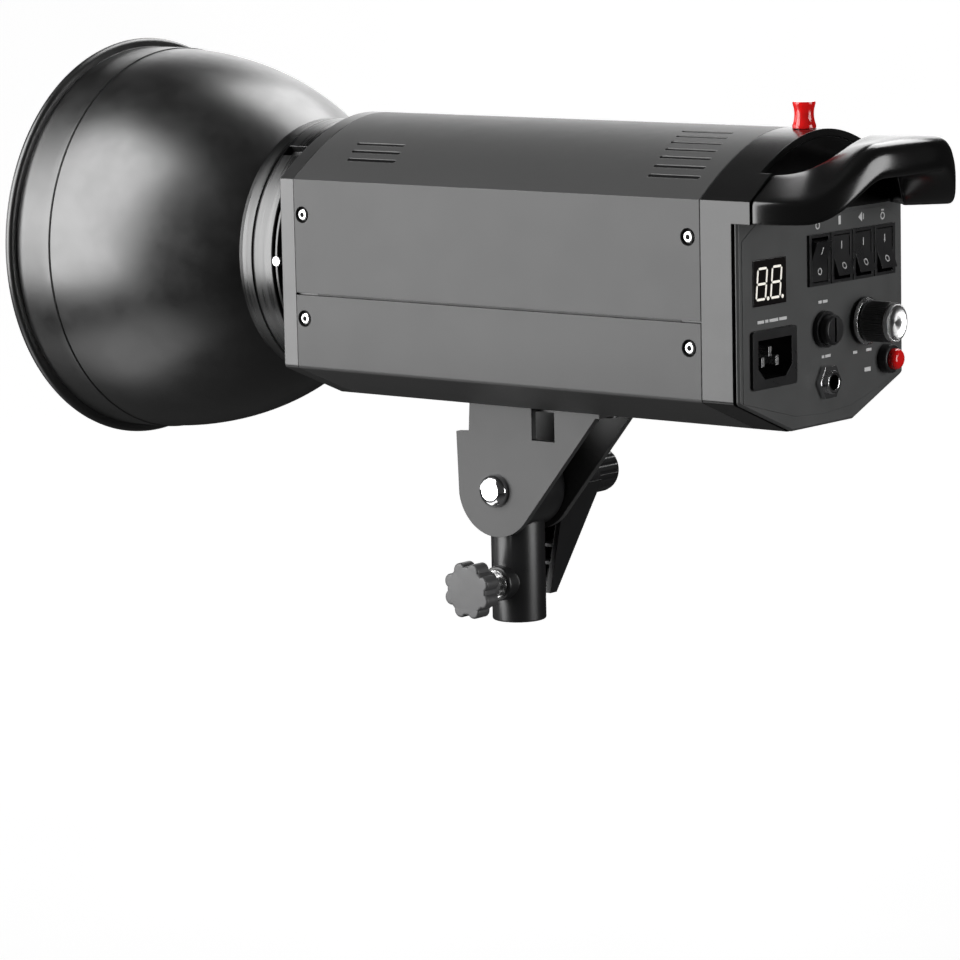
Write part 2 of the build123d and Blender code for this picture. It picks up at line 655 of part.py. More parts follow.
def flash_tube():
    """A ring-shaped xenon tube on two straight legs."""
    section = Pos(TUBE_X, TUBE_R) * Circle(TUBE_BORE)
    ring = revolve(Plane.XZ * section, Axis.X, revolution_arc=360 - 2 * TUBE_GAP)
    tube = Pos(0, 0, LIGHT_Z) * Rot(180 + TUBE_GAP, 0, 0) * ring
    for y, z in tube_feet():
        tube += Pos(TUBE_X, y, z) * Sphere(TUBE_BORE)
        tube += rod_x(TUBE_BORE, TUBE_X, BEZEL_X - 4.6, y, z)
    return tube


def tube_terminals():
    """Two sockets that grip the flash tube's legs."""
    solids = []
    for y, z in tube_feet():
        solids.append(rod_x(5.2, BEZEL_X - 4.5, BEZEL_X + 0.9, y, z) + rod_x(2.0, BEZEL_X, BEZEL_X + 14, y, z))
    return group(solids)


SOCKET_X1 = -58.0


def lamp_socket():
    """A ceramic screw lampholder."""
    body = rod_x(19.8, BEZEL_X - 5, SOCKET_X1)
    return body - rod_x(13.4, BEZEL_X - 6, SOCKET_X1 - 4)


def lamp_cap():
    """The lamp's screw cap with its centre contact."""
    return rod_x(13.2, BEZEL_X - 4, SOCKET_X1 - 6) + rod_x(3.0, SOCKET_X1 - 6.5, SOCKET_X1 - 4.1)


def modelling_lamp():
    """A frosted tubular modelling lamp."""
    bulb = rod_x(16.0, -128, -92)
    dome = Pos(-128, 0, LIGHT_Z) * Sphere(16.0)
    neck = rod_x(12.5, -93, BEZEL_X - 4.1)
    return bulb + dome + neck


# ---- Inside the casing -------------------------------------------------------------

DECK_Z = 114.0


def chassis_plate():
    """A folded steel deck on two feet."""
    deck = block(-58, 128, -52, 52, DECK_Z, DECK_Z + 1.5)
    for side in (-1, 1):
        foot = sorted((side * 17.0, side * 18.5))
        deck += block(-40, 120, *foot, FLOOR_Z + WALL + GAP, DECK_Z)
    return deck - [rod_z(2.0, DECK_Z - 1, DECK_Z + 3, x, y) for x in (-50, 120) for y in (-46, 46)]


CAPACITOR_R = 17.5
CAPACITOR_H = 62.0
CAPACITOR_PLACES = [(x, y) for x in (-22.0, 16.0) for y in (-20.0, 17.5)]


def capacitors():
    """Four upright storage capacitors."""
    base = DECK_Z + 1.6
    return group([rod_z(CAPACITOR_R, base, base + CAPACITOR_H, x, y) for x, y in CAPACITOR_PLACES])


def main_board():
    """The charging board, on edge at the far side."""
    return block(-45, 98, 46.0, 47.6, DECK_Z + 2, LIGHT_Z + 28)


def heat_sink():
    """A finned block on the charging board."""
    sink = block(52, 92, 38, 45.9, DECK_Z + 8, DECK_Z + 40)
    fins = [block(54 + 6 * n, 57 + 6 * n, 36.5, 42.5, DECK_Z + 7, DECK_Z + 41) for n in range(6)]
    return sink - fins


def power_transformer():
    """The charging inductor: a ferrite frame round its winding."""
    core = block(48, 84, -38, -8, DECK_Z + 1.6, DECK_Z + 34)
    winding = rod_z(14.0, DECK_Z + 6, DECK_Z + 30, 66, -23)
    window = block(48, 84, -40, -6, DECK_Z + 7, DECK_Z + 29)
    return core - window + winding


def trigger_coil():
    """The coil that fires the flash tube."""
    coil = rod_x(7.0, -48, -42, -30, LIGHT_Z + 28) + rod_x(7.0, -32, -26, -30, LIGHT_Z + 28)
    return coil + rod_x(5.0, -45, -29, -30, LIGHT_Z + 28)


def control_board():
    """The control board behind the switches and the display."""
    return block(141.5, 143.1, -50, 50, LIGHT_Z - 9, LIGHT_Z + 26)


FAN_X = 108.0
FAN_Z = 167.0
FAN_HALF = 30.0


def fan_frame():
    """A square fan housing with four spokes and a fixed spindle."""
    frame = block(FAN_X, FAN_X + 15, -FAN_HALF, FAN_HALF, FAN_Z - FAN_HALF, FAN_Z + FAN_HALF)
    frame = fillet(frame.edges().filter_by(Axis.X), 3.0)
    frame -= rod_x(28.2, FAN_X - 1, FAN_X + 16, 0, FAN_Z)
    hub = rod_x(12.0, FAN_X + 12.5, FAN_X + 15, 0, FAN_Z)
    spokes = [Pos(FAN_X + 13.75, 0, FAN_Z) * Rot(45 + 90 * n, 0, 0) * Pos(0, 0, 20) * Box(2.5, 3.0, 18)
              for n in range(4)]
    spindle = rod_x(1.5, FAN_X + 3, FAN_X + 13, 0, FAN_Z)
    holes = [rod_x(2.1, FAN_X - 1, FAN_X + 16, sy * 25.0, FAN_Z + sz * 25.0)
             for sy in (-1, 1) for sz in (-1, 1)]
    return frame + hub + spokes + spindle - holes


def fan_rotor():
    """Seven pitched blades on a hub that turns on the spindle."""
    rotor = rod_x(11.5, FAN_X + 1, FAN_X + 11.5, 0, FAN_Z)
    for n in range(7):
        blade = Rot(n * 360 / 7, 0, 0) * Pos(0, 0, 18.8) * Rot(0, 0, 35) * Box(1.2, 11.0, 16.6)
        rotor += Pos(FAN_X + 6, 0, FAN_Z) * blade
    return rotor - rod_x(1.5 + RUNNING, FAN_X + 2.5, FAN_X + 13, 0, FAN_Z)


# ---- Bracket and stand socket -----------------------------------------------------

def cheek_outline():
    """One cheek: stepped front edge, round end about the pivot, slanted rear edge."""
    top = FLOOR_Z - GAP
    end_r = 20.5
    rear_top = (58.0, top)
    rear_low = (17.0, PIVOT_Z - 16.0)
    tangent = Vector(rear_top[0] - rear_low[0], rear_top[1] - rear_low[1]).normalized()
    touch = (end_r * tangent.Y, PIVOT_Z - end_r * tangent.X)
    front_touch = (-end_r * math.cos(math.radians(8)), PIVOT_Z - end_r * math.sin(math.radians(8)))
    arc = ThreePointArc(touch, (-2.0, PIVOT_Z - math.sqrt(end_r ** 2 - 4)), front_touch)
    edges = Polyline(front_touch, (-21.2, 83.0), (-14.2, 83.5), (-13.4, top), rear_top, touch)
    return make_face(arc + edges)


def tilt_bracket():
    """A folded bracket: a plate under the casing's floor and two cheeks, the left one notched."""
    top = FLOOR_Z - GAP
    bracket = block(-13.4, 57.5, -CHEEK_Y1, CHEEK_Y1, top - PLATE_T, top)
    for y0, y1 in ((-CHEEK_Y1, -CHEEK_Y0), (CHEEK_Y0, CHEEK_Y1)):
        bracket += along_y(cheek_outline(), y0, y1)
    bracket -= block(20.8, 33.2, -CHEEK_Y1 - 1, -CHEEK_Y0 + 2, 82, top - 1)
    holes = [rod_z(BRACKET_SCREW_R + 0.2, top - 5, top + 1, x, y) for x, y in BRACKET_SCREWS]
    return bracket - rod_y(BOLT_R + 0.1, -20, 20) - holes


def nut_plate():
    """The threaded plate inside the floor that takes the bracket screws."""
    z0 = FLOOR_Z + WALL + GAP
    plate = block(-6, 56, -14, 14, z0, z0 + 4)
    return plate - [rod_z(BRACKET_SCREW_R + 0.05, z0 - 1, z0 + 5, x, y) for x, y in BRACKET_SCREWS]


def bracket_screws():
    """Four screws that hold the bracket to the casing."""
    z0 = FLOOR_Z - GAP - PLATE_T
    return group([rod_z(4.2, z0 - 2.6, z0 - 0.02, x, y) + rod_z(BRACKET_SCREW_R, z0 - 1, FLOOR_Z + 8, x, y)
                  for x, y in BRACKET_SCREWS])


def pivot_bolt():
    """A domed bolt through both cheeks and the socket's hub."""
    seat = -CHEEK_Y1 - 0.02
    head = rod_y(7.4, seat - 4.2, seat)
    head = fillet(head.faces().sort_by(Axis.Y)[0].edges(), 3.6)
    return head + rod_y(BOLT_R, seat - 0.5, 34.0)


def friction_washers():
    """Two washers between the hub and the cheeks."""
    solids = []
    for y0, y1 in ((-CHEEK_Y0 + 0.05, -HUB_HALF - 0.1), (HUB_HALF + 0.1, CHEEK_Y0 - 0.05)):
        solids.append(rod_y(13.5, y0, y1) - rod_y(BOLT_R + 0.1, y0 - 1, y1 + 1))
    return group(solids)


LEVER_Y0 = CHEEK_Y1 + 0.3
LEVER_HUB_Y1 = 44.0
LEVER_END_Y = 63.0
LEVER_TIP_Z = 8.0


def tilt_lever():
    """The clamp lever: a hub on the bolt, a fluted end and a hollow wedge-shaped arm."""
    hub = rod_y(11.0, LEVER_Y0, LEVER_HUB_Y1)
    cap = rod_y(10.2, LEVER_HUB_Y1 - 1, LEVER_END_Y)
    cap = fillet(cap.faces().sort_by(Axis.Y)[-1].edges(), 5.0)
    flutes = [rod_y(1.0, LEVER_HUB_Y1 + 2, LEVER_END_Y + 1,
                    10.6 * math.cos(math.radians(20 * n)), PIVOT_Z + 10.6 * math.sin(math.radians(20 * n)))
              for n in range(18)]
    root_z = PIVOT_Z - 2.0
    side = polygon([(LEVER_Y0 + 2.5, root_z), (LEVER_HUB_Y1, root_z), (24.5, LEVER_TIP_Z), (20.0, LEVER_TIP_Z)])
    front = polygon([(-13.0, root_z), (13.0, root_z), (1.6, LEVER_TIP_Z), (-7.0, LEVER_TIP_Z)])
    arm = along_x(side, -20, 20) & along_y(front, 0, 60)
    inner_side = polygon([(LEVER_Y0, 43.0), (34.0, 43.0), (22.6, LEVER_TIP_Z + 3), (15.0, LEVER_TIP_Z + 3)])
    inner_front = polygon([(-7.6, 43.0), (7.2, 43.0), (-0.4, LEVER_TIP_Z + 3), (-5.0, LEVER_TIP_Z + 3)])
    hollow = along_x(inner_side, -20, 20) & along_y(inner_front, 0, 60)
    hollow -= [block(-20, 20, 18, 60, z, z + 1.4) for z in (21.0, 29.0)]
    return hub + (cap - flutes) + arm - hollow - rod_y(BOLT_R + RUNNING, LEVER_Y0 - 1, 35.0)


def stand_socket():
    """The fixed foot: a sleeve for the stand's spigot under a hub for the pivot bolt."""
    sleeve = rod_z(SLEEVE_R, 0, SLEEVE_TOP_Z)
    sleeve = chamfer(sleeve.faces().sort_by(Axis.Z)[-1].edges(), 0.9)
    sleeve = fillet(sleeve.faces().sort_by(Axis.Z)[0].edges(), 0.8)
    hub = rod_y(HUB_R, -HUB_HALF, HUB_HALF)
    hub = fillet(hub.edges().filter_by(GeomType.CIRCLE), 1.2)
    boss = rod_y(7.6, LOCK_BOSS_Y, 0, 0, LOCK_Z)
    boss = fillet(boss.faces().sort_by(Axis.Y)[0].edges(), 1.0)
    body = sleeve + hub + boss
    body -= rod_z(SPIGOT_BORE_R, -1, SPIGOT_DEPTH)
    body -= rod_y(BOLT_R + RUNNING, -20, 20)
    return body - rod_y(INSERT_R + 0.05, -20, SPIGOT_BORE_R * -0.5, 0, LOCK_Z)


def lock_insert():
    """The threaded steel insert for the stand lock screw, pressed flush into its boss."""
    barrel = rod_y(INSERT_R, LOCK_BOSS_Y - 0.8, -9.4, 0, LOCK_Z)
    return barrel - rod_y(LOCK_R + RUNNING, -20, 0, 0, LOCK_Z)


LOCK_TIP_Y = -8.3
KNOB_NECK_Y, KNOB_BACK_Y, KNOB_FACE_Y = -21.0, -29.0, -36.6


def lock_screw():
    """The stand lock screw, its tip just short of the spigot bore."""
    shank = rod_y(LOCK_R, -32.5, LOCK_TIP_Y, 0, LOCK_Z)
    return chamfer(shank.faces().sort_by(Axis.Y)[-1].edges(), 0.6)


def lock_knob():
    """An eight-lobed knob on the lock screw's outer end."""
    star = Circle(10.6)
    for n in range(8):
        angle = math.radians(22.5 + 45 * n)
        star += Pos(9.3 * math.cos(angle), 9.3 * math.sin(angle)) * Circle(3.3)
    grip = along_y(Pos(0, LOCK_Z) * star, KNOB_FACE_Y, KNOB_BACK_Y)
    grip = fillet(grip.faces().sort_by(Axis.Y)[0].edges(), 1.0)
    neck = rod_y(7.4, KNOB_BACK_Y, KNOB_NECK_Y, 0, LOCK_Z)
    neck = chamfer(neck.faces().sort_by(Axis.Y)[-1].edges(), 1.4)
    return grip + neck - rod_y(LOCK_R + 0.03, -33.0, -20, 0, LOCK_Z)


# ---- Write every piece --------------------------------------------------------------

PIECES = (upper_shell, lower_shell, front_bezel, rear_cover, casing_screws, rear_panel,
          control_overlay, display_module, display_window, inlet_housing, inlet_pins,
          switch_housings, fuse_holder, fuse_cap, fuse, sync_jack, jack_nut, power_pot,
          pot_shaft, power_knob, knob_cap, button_bezel, test_button, slave_lens, handle,
          handle_screws, mount_ring, release_latch, reflector_collar, reflector,
          reflector_rivets, lamp_plate, flash_tube, tube_terminals, lamp_socket, lamp_cap,
          modelling_lamp, chassis_plate, capacitors, main_board, heat_sink,
          power_transformer, trigger_coil, control_board, fan_frame, fan_rotor, tilt_bracket,
          nut_plate, bracket_screws, pivot_bolt, friction_washers, tilt_lever, stand_socket,
          lock_insert, lock_screw, lock_knob)

for piece in PIECES:
    save(piece.__name__, piece())

for number, rocker_name in enumerate(ROCKER_NAMES):
    save(rocker_name, rocker(number))
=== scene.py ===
import json
import math

import bmesh
import bpy
from mathutils import Matrix, Vector


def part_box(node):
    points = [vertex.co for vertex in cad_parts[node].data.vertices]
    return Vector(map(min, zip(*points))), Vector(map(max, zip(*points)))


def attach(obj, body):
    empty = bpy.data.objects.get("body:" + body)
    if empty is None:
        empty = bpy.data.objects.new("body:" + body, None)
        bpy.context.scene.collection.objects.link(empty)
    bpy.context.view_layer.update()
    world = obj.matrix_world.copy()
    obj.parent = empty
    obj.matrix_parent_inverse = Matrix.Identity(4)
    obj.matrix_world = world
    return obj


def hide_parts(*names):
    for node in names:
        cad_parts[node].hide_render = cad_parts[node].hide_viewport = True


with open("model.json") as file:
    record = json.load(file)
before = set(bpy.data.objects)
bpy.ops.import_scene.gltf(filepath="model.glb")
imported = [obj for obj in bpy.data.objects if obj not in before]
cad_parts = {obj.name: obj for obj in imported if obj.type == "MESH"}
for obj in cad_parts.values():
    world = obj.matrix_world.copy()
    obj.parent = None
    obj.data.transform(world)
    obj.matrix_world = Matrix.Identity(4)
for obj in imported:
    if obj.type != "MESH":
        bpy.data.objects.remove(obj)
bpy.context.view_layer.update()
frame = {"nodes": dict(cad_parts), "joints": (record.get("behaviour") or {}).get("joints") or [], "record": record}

NODES = frame["nodes"]
MM = 0.001


def mm(*values):
    """A point given in millimetres."""
    return Vector([v * MM for v in values])


def centre(node):
    low, high = (Vector(c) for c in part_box(node))
    return (low + high) / 2


# ---- Places read from the frame --------------------------------------------------------

LIGHT_Z = centre("mount_ring").z      # height of the dish's axis
FACE_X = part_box("control_overlay")[1][0]     # the control panel's face


# ---- Material building -----------------------------------------------------------------

class Shader:
    """A small helper round one node material."""

    def __init__(self, name):
        self.material = bpy.data.materials.new(name)
        self.material.use_nodes = True
        self.tree = self.material.node_tree
        self.bsdf = self.tree.nodes["Principled BSDF"]
        self.coords = self.add("ShaderNodeTexCoord").outputs["Object"]

    def add(self, kind, **settings):
        node = self.tree.nodes.new(kind)
        for key, value in settings.items():
            setattr(node, key, value)
        return node

    def link(self, source, target):
        self.tree.links.new(source, target)

    def put(self, name, value):
        self.bsdf.inputs[name].default_value = value

    def noise(self, scale, detail=3.0, rough=0.5, stretch=(1, 1, 1)):
        mapping = self.add("ShaderNodeMapping")
        mapping.inputs["Scale"].default_value = stretch
        self.link(self.coords, mapping.inputs["Vector"])
        texture = self.add("ShaderNodeTexNoise")
        texture.inputs["Scale"].default_value = scale
        texture.inputs["Detail"].default_value = detail
        texture.inputs["Roughness"].default_value = rough
        self.link(mapping.outputs["Vector"], texture.inputs["Vector"])
        return texture.outputs["Fac"]

    def span(self, source, low, high, in_low=0.3, in_high=0.7):
        """Remaps a noise value to a range."""
        node = self.add("ShaderNodeMapRange")
        for name, value in zip(("From Min", "From Max", "To Min", "To Max"), (in_low, in_high, low, high)):
            node.inputs[name].default_value = value
        self.link(source, node.inputs["Value"])
        return node.outputs["Result"]

    def mix(self, factor, first, second):
        node = self.add("ShaderNodeMix", data_type="RGBA")
        node.inputs["A"].default_value = (*first, 1)
        node.inputs["B"].default_value = (*second, 1)
        self.link(factor, node.inputs["Factor"])
        return node.outputs["Result"]

    def edges(self, radius):
        """A mask that is 1 on convex edges, for wear."""
        bevel = self.add("ShaderNodeBevel", samples=4)
        bevel.inputs["Radius"].default_value = radius
        geometry = self.add("ShaderNodeNewGeometry")
        dot = self.add("ShaderNodeVectorMath", operation="DOT_PRODUCT")
        self.link(bevel.outputs["Normal"], dot.inputs[0])
        self.link(geometry.outputs["Normal"], dot.inputs[1])
        return self.span(dot.outputs["Value"], 1.0, 0.0, 0.82, 0.985)

    def surface(self, bumps, bevel=0.0004):
        """Chains bump layers, given as (height, strength, distance), over rounded edges."""
        rounded = self.add("ShaderNodeBevel", samples=4)
        rounded.inputs["Radius"].default_value = bevel
        normal = rounded.outputs["Normal"]
        for height, strength, distance in bumps:
            bump = self.add("ShaderNodeBump")
            bump.inputs["Strength"].default_value = strength
            bump.inputs["Distance"].default_value = distance
            self.link(height, bump.inputs["Height"])
            self.link(normal, bump.inputs["Normal"])
            normal = bump.outputs["Normal"]
        self.link(normal, self.bsdf.inputs["Normal"])


def coated(name, colour, rough, grain=2600.0, grain_height=0.25, wear=None, drift=0.05,
           smudge=0.05, specular=0.5, wave=0.1, clear=0.0):
    """Paint or moulded plastic: fine grain, slow colour drift, smudged gloss and rubbed edges."""
    s = Shader(name)
    darker = tuple(c * (1 - drift) for c in colour)
    lighter = tuple(c * (1 + drift) for c in colour)
    base = s.mix(s.span(s.noise(22.0, 4.0), 0.0, 1.0), darker, lighter)
    if wear is not None:
        rub = s.add("ShaderNodeMath", operation="MULTIPLY")
        s.link(s.edges(0.0005), rub.inputs[0])
        s.link(s.span(s.noise(160.0, 5.0, 0.7), 0.0, 0.75, 0.45, 0.62), rub.inputs[1])
        worn = s.add("ShaderNodeMix", data_type="RGBA")
        s.link(rub.outputs["Value"], worn.inputs["Factor"])
        s.link(base, worn.inputs["A"])
        worn.inputs["B"].default_value = (*wear, 1)
        base = worn.outputs["Result"]
    s.link(base, s.bsdf.inputs["Base Color"])
    s.link(s.span(s.noise(60.0, 6.0, 0.65), rough - smudge, rough + smudge), s.bsdf.inputs["Roughness"])
    s.put("Specular IOR Level", specular)
    s.put("Transmission Weight", clear)
    s.surface([(s.noise(grain, 2.0), grain_height, 0.00004),
               (s.noise(18.0, 2.0), wave, 0.0003)])
    return s.material


def metal(name, colour, rough, stretch=(1, 1, 1), scratch=0.2, bevel=0.0003):
    """Bare or plated metal with fine directional scratches and uneven shine."""
    s = Shader(name)
    tint = s.mix(s.span(s.noise(40.0, 4.0), 0.0, 1.0), tuple(c * 0.9 for c in colour), colour)
    s.link(tint, s.bsdf.inputs["Base Color"])
    s.put("Metallic", 1.0)
    lines = s.noise(500.0, 3.0, 0.6, stretch)
    s.link(s.span(lines, rough * 0.75, rough * 1.3), s.bsdf.inputs["Roughness"])
    s.surface([(lines, scratch, 0.00002)], bevel)
    return s.material


def glass(name, colour, rough, alpha):
    """Thin glass with a faint unevenness."""
    s = Shader(name)
    s.put("Base Color", (*colour, 1))
    s.put("Transmission Weight", alpha)
    s.put("IOR", 1.46)
    s.link(s.span(s.noise(45.0), rough, rough + 0.04), s.bsdf.inputs["Roughness"])
    s.surface([(s.noise(60.0, 2.0), 0.05, 0.0002)], 0.0002)
    return s.material


def glow(name, colour, strength):
    s = Shader(name)
    s.put("Base Color", (*colour, 1))
    s.put("Emission Color", (*colour, 1))
    s.link(s.span(s.noise(300.0), strength * 0.92, strength), s.bsdf.inputs["Emission Strength"])
    return s.material


def spun(name, colour, rough):
    """Metal turned on a lathe: rings of fine scratches that stretch highlights into wedges."""
    s = Shader(name)
    s.put("Base Color", (*colour, 1))
    s.put("Metallic", 1.0)
    s.link(s.span(s.noise(30.0), rough * 0.9, rough * 1.1), s.bsdf.inputs["Roughness"])
    s.put("Anisotropic", 0.85)
    tangent = s.add("ShaderNodeTangent", direction_type="RADIAL", axis="X")
    s.link(tangent.outputs["Tangent"], s.bsdf.inputs["Tangent"])
    return s.material


LINES_ROUND_X = (0.02, 1, 1)

MATERIALS = {
    "grey_paint": coated("grey_paint", (0.036, 0.036, 0.036), 0.46, 1500.0, 0.25, wear=(0.16, 0.16, 0.16),
                         specular=0.42, drift=0.02, smudge=0.015, wave=0.03),
    "bezel_grey": coated("bezel_grey", (0.02, 0.02, 0.02), 0.33, 2200.0, 0.12, wear=(0.2, 0.2, 0.2),
                         specular=0.65, smudge=0.02),
    "cover_gloss": coated("cover_gloss", (0.006, 0.006, 0.006), 0.24, grain_height=0.012, wave=0.01,
                          specular=0.42, smudge=0.02),
    "panel_grey": coated("panel_grey", (0.047, 0.048, 0.048), 0.4, 1800.0, 0.25),
    "gloss_black": coated("gloss_black", (0.004, 0.004, 0.004), 0.2, grain_height=0.015, wave=0.01,
                          smudge=0.02),
    "black_plastic": coated("black_plastic", (0.009, 0.009, 0.0095), 0.3, 2400.0, 0.15),
    "knob_grey": coated("knob_grey", (0.05, 0.05, 0.051), 0.42, 2000.0, 0.3),
    "ring_metal": metal("ring_metal", (0.085, 0.085, 0.085), 0.3, (1, 0.03, 0.03), 0.12),
    "reflector_black": coated("reflector_black", (0.0025, 0.0025, 0.0025), 0.34, 2200.0, 0.08, wave=0.04,
                              specular=1.0),
    "reflector_silver": metal("reflector_silver", (0.84, 0.84, 0.85), 0.38, scratch=0.04),
    "cast_grey": coated("cast_grey", (0.011, 0.011, 0.0115), 0.3, 1300.0, 0.15),
    "chrome_metal": metal("chrome_metal", (0.8, 0.8, 0.81), 0.1, scratch=0.03),
    "spun_silver": spun("spun_silver", (0.92, 0.92, 0.92), 0.3),
    "steel": metal("steel", (0.6, 0.6, 0.6), 0.25, scratch=0.08),
    "black_steel": coated("black_steel", (0.012, 0.012, 0.012), 0.35, 1600.0, 0.2),
    "brass": metal("brass", (0.72, 0.55, 0.27), 0.35, scratch=0.0),
    "aluminium": metal("aluminium", (0.82, 0.82, 0.83), 0.22, LINES_ROUND_X),
    "ceramic_white": coated("ceramic_white", (0.8, 0.79, 0.75), 0.2, grain_height=0.05, drift=0.04),
    "clear_glass": glass("clear_glass", (0.95, 0.97, 1.0), 0.02, 0.95),
    "frosted_glass": glass("frosted_glass", (0.97, 0.95, 0.9), 0.45, 0.6),
    "display_dark": coated("display_dark", (0.005, 0.004, 0.004), 0.1, grain_height=0.02, wave=0.0),
    "red_plastic": coated("red_plastic", (0.8, 0.012, 0.012), 0.12, grain_height=0.03, clear=0.3),
    "board_green": coated("board_green", (0.03, 0.16, 0.07), 0.35, 900.0, 0.3),
    "capacitor_sleeve": coated("capacitor_sleeve", (0.03, 0.04, 0.09), 0.3),
    "coil_tape": coated("coil_tape", (0.5, 0.36, 0.08), 0.4),
    "white_print": coated("white_print", (0.5, 0.5, 0.5), 0.5, drift=0.03),
    "digit_white": glow("digit_white", (0.8, 0.77, 0.7), 0.4),
    # painted shade: a near-black colour laid on hollows (vent slots, screw recesses, ring groove) to stand in for
    # their shade
    "dark_recess": coated("dark_recess", (0.002, 0.002, 0.002), 0.6, specular=0.1),
}


def dress_frame():
    """Gives every CAD node its slot's material."""
    slots = {part["node"]: part["material_slot"] for part in frame["record"]["subparts"]}
    for name, node in NODES.items():
        node.data.materials.clear()
        node.data.materials.append(MATERIALS[slots[name]])


def soften(node, angle=32.0):
    """Smooth shading on a CAD node's curved faces, with its true edges kept sharp."""
    weld = node.modifiers.new("weld", "WELD")
    weld.merge_threshold = 0.000002
    for face in node.data.polygons:
        face.use_smooth = True
    if "custom_normal" in node.data.attributes:
        node.data.attributes.remove(node.data.attributes["custom_normal"])
    split = node.modifiers.new("split", "EDGE_SPLIT")
    split.split_angle = math.radians(angle)
    split.use_edge_sharp = False


# ---- Mesh building ---------------------------------------------------------------------

def piece(name, mesh, material, body):
    """Adds a finished mesh to the scene and lets it ride on a body."""
    obj = bpy.data.objects.new(name, mesh)
    bpy.context.scene.collection.objects.link(obj)
    materials = material if isinstance(material, (list, tuple)) else [material]
    for key in materials:
        mesh.materials.append(MATERIALS[key])
    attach(obj, body)
    return obj


def to_mesh(name, bm, smooth=True):
    mesh = bpy.data.meshes.new(name)
    bmesh.ops.recalc_face_normals(bm, faces=bm.faces)
    for face in bm.faces:
        face.smooth = smooth
    bm.to_mesh(mesh)
    bm.free()
    return mesh


def sharpen(mesh, angle=35.0):
    mesh.set_sharp_from_angle(angle=math.radians(angle))
    return mesh


def lathe(name, profile, origin, axis, steps=96, shape=None, spans=(), start=None):
    """Turns a closed profile of (along, radius) about an axis. shape(along, radius, angle) may
    change the radius, with the angle counted from start. spans gives (first, last, material
    index) runs of the profile's sides."""
    axis = Vector(axis).normalized()
    side = Vector(start) if start else axis.orthogonal().normalized()
    other = axis.cross(side)
    bm = bmesh.new()
    rings = []
    for n in range(steps):
        angle = 2 * math.pi * n / steps
        ray = side * math.cos(angle) + other * math.sin(angle)
        ring = []
        for along, radius in profile:
            r = shape(along, radius, angle) if shape else radius
            ring.append(bm.verts.new(Vector(origin) + axis * along + ray * r))
        rings.append(ring)
    count = len(profile)
    for n in range(steps):
        here, there = rings[n], rings[(n + 1) % steps]
        for k in range(count):
            j = (k + 1) % count
            face = bm.faces.new((here[k], here[j], there[j], there[k]))
            for first, last, index in spans:
                if first <= k < last:
                    face.material_index = index
    bmesh.ops.remove_doubles(bm, verts=bm.verts, dist=1e-7)
    loose = [f for f in bm.faces if f.calc_area() < 1e-14]
    bmesh.ops.delete(bm, geom=loose, context="FACES_ONLY")
    return sharpen(to_mesh(name, bm))


def prism(name, outline, place, thickness, bevel=0.0):
    """A flat outline of (u, v) pushed out along the place's third axis, with bevelled rims."""
    bm = bmesh.new()
    base = [bm.verts.new(place @ Vector((u, v, 0))) for u, v in outline]
    face = bm.faces.new(base)
    result = bmesh.ops.extrude_face_region(bm, geom=[face])
    top = [v for v in result["geom"] if isinstance(v, bmesh.types.BMVert)]
    push = (place.to_3x3() @ Vector((0, 0, 1))).normalized() * thickness
    bmesh.ops.translate(bm, verts=top, vec=push)
    if bevel:
        bmesh.ops.recalc_face_normals(bm, faces=bm.faces)
        bmesh.ops.bevel(bm, geom=list(bm.edges), offset=bevel, segments=2, affect="EDGES",
                        clamp_overlap=True)
    return sharpen(to_mesh(name, bm))


def join_meshes(name, meshes):
    """Puts several meshes into one."""
    bm = bmesh.new()
    for mesh in meshes:
        bm.from_mesh(mesh)
        bpy.data.meshes.remove(mesh)
    joined = bpy.data.meshes.new(name)
    bm.to_mesh(joined)
    bm.free()
    return sharpen(joined)


def panel_place(y, z, lift=0.0):
    """A frame on the control panel: u to the viewer's right, v up, third axis rearward."""
    rotation = Matrix(((0, 0, 1), (1, 0, 0), (0, 1, 0))).to_4x4()
    return Matrix.Translation((FACE_X + lift, y, z)) @ rotation


# ---- Reflector, collar and mount ring -----------------------------------------------------

def arc_points(centre_point, radii, start, end, steps):
    """Points on an ellipse's arc, angles in degrees."""
    points = []
    for n in range(steps + 1):
        angle = math.radians(start + (end - start) * n / steps)
        points.append((centre_point[0] + radii[0] * math.cos(angle),
                       centre_point[1] + radii[1] * math.sin(angle)))
    return points


REFLECTOR_LOW, REFLECTOR_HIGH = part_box("reflector")
RIM_X = REFLECTOR_LOW[0]
NECK_X = REFLECTOR_HIGH[0]
RIM_R = (REFLECTOR_HIGH[1] - REFLECTOR_LOW[1]) / 2
DISH_T = 1.0 * MM
BEAD_R = 2.3 * MM
LIP_LENGTH = 25 * MM
DISH_CENTRE = 17 * MM           # how far behind the rim the bowl is widest
NECK_R = 55.5 * MM
FLANGE_R = 47 * MM


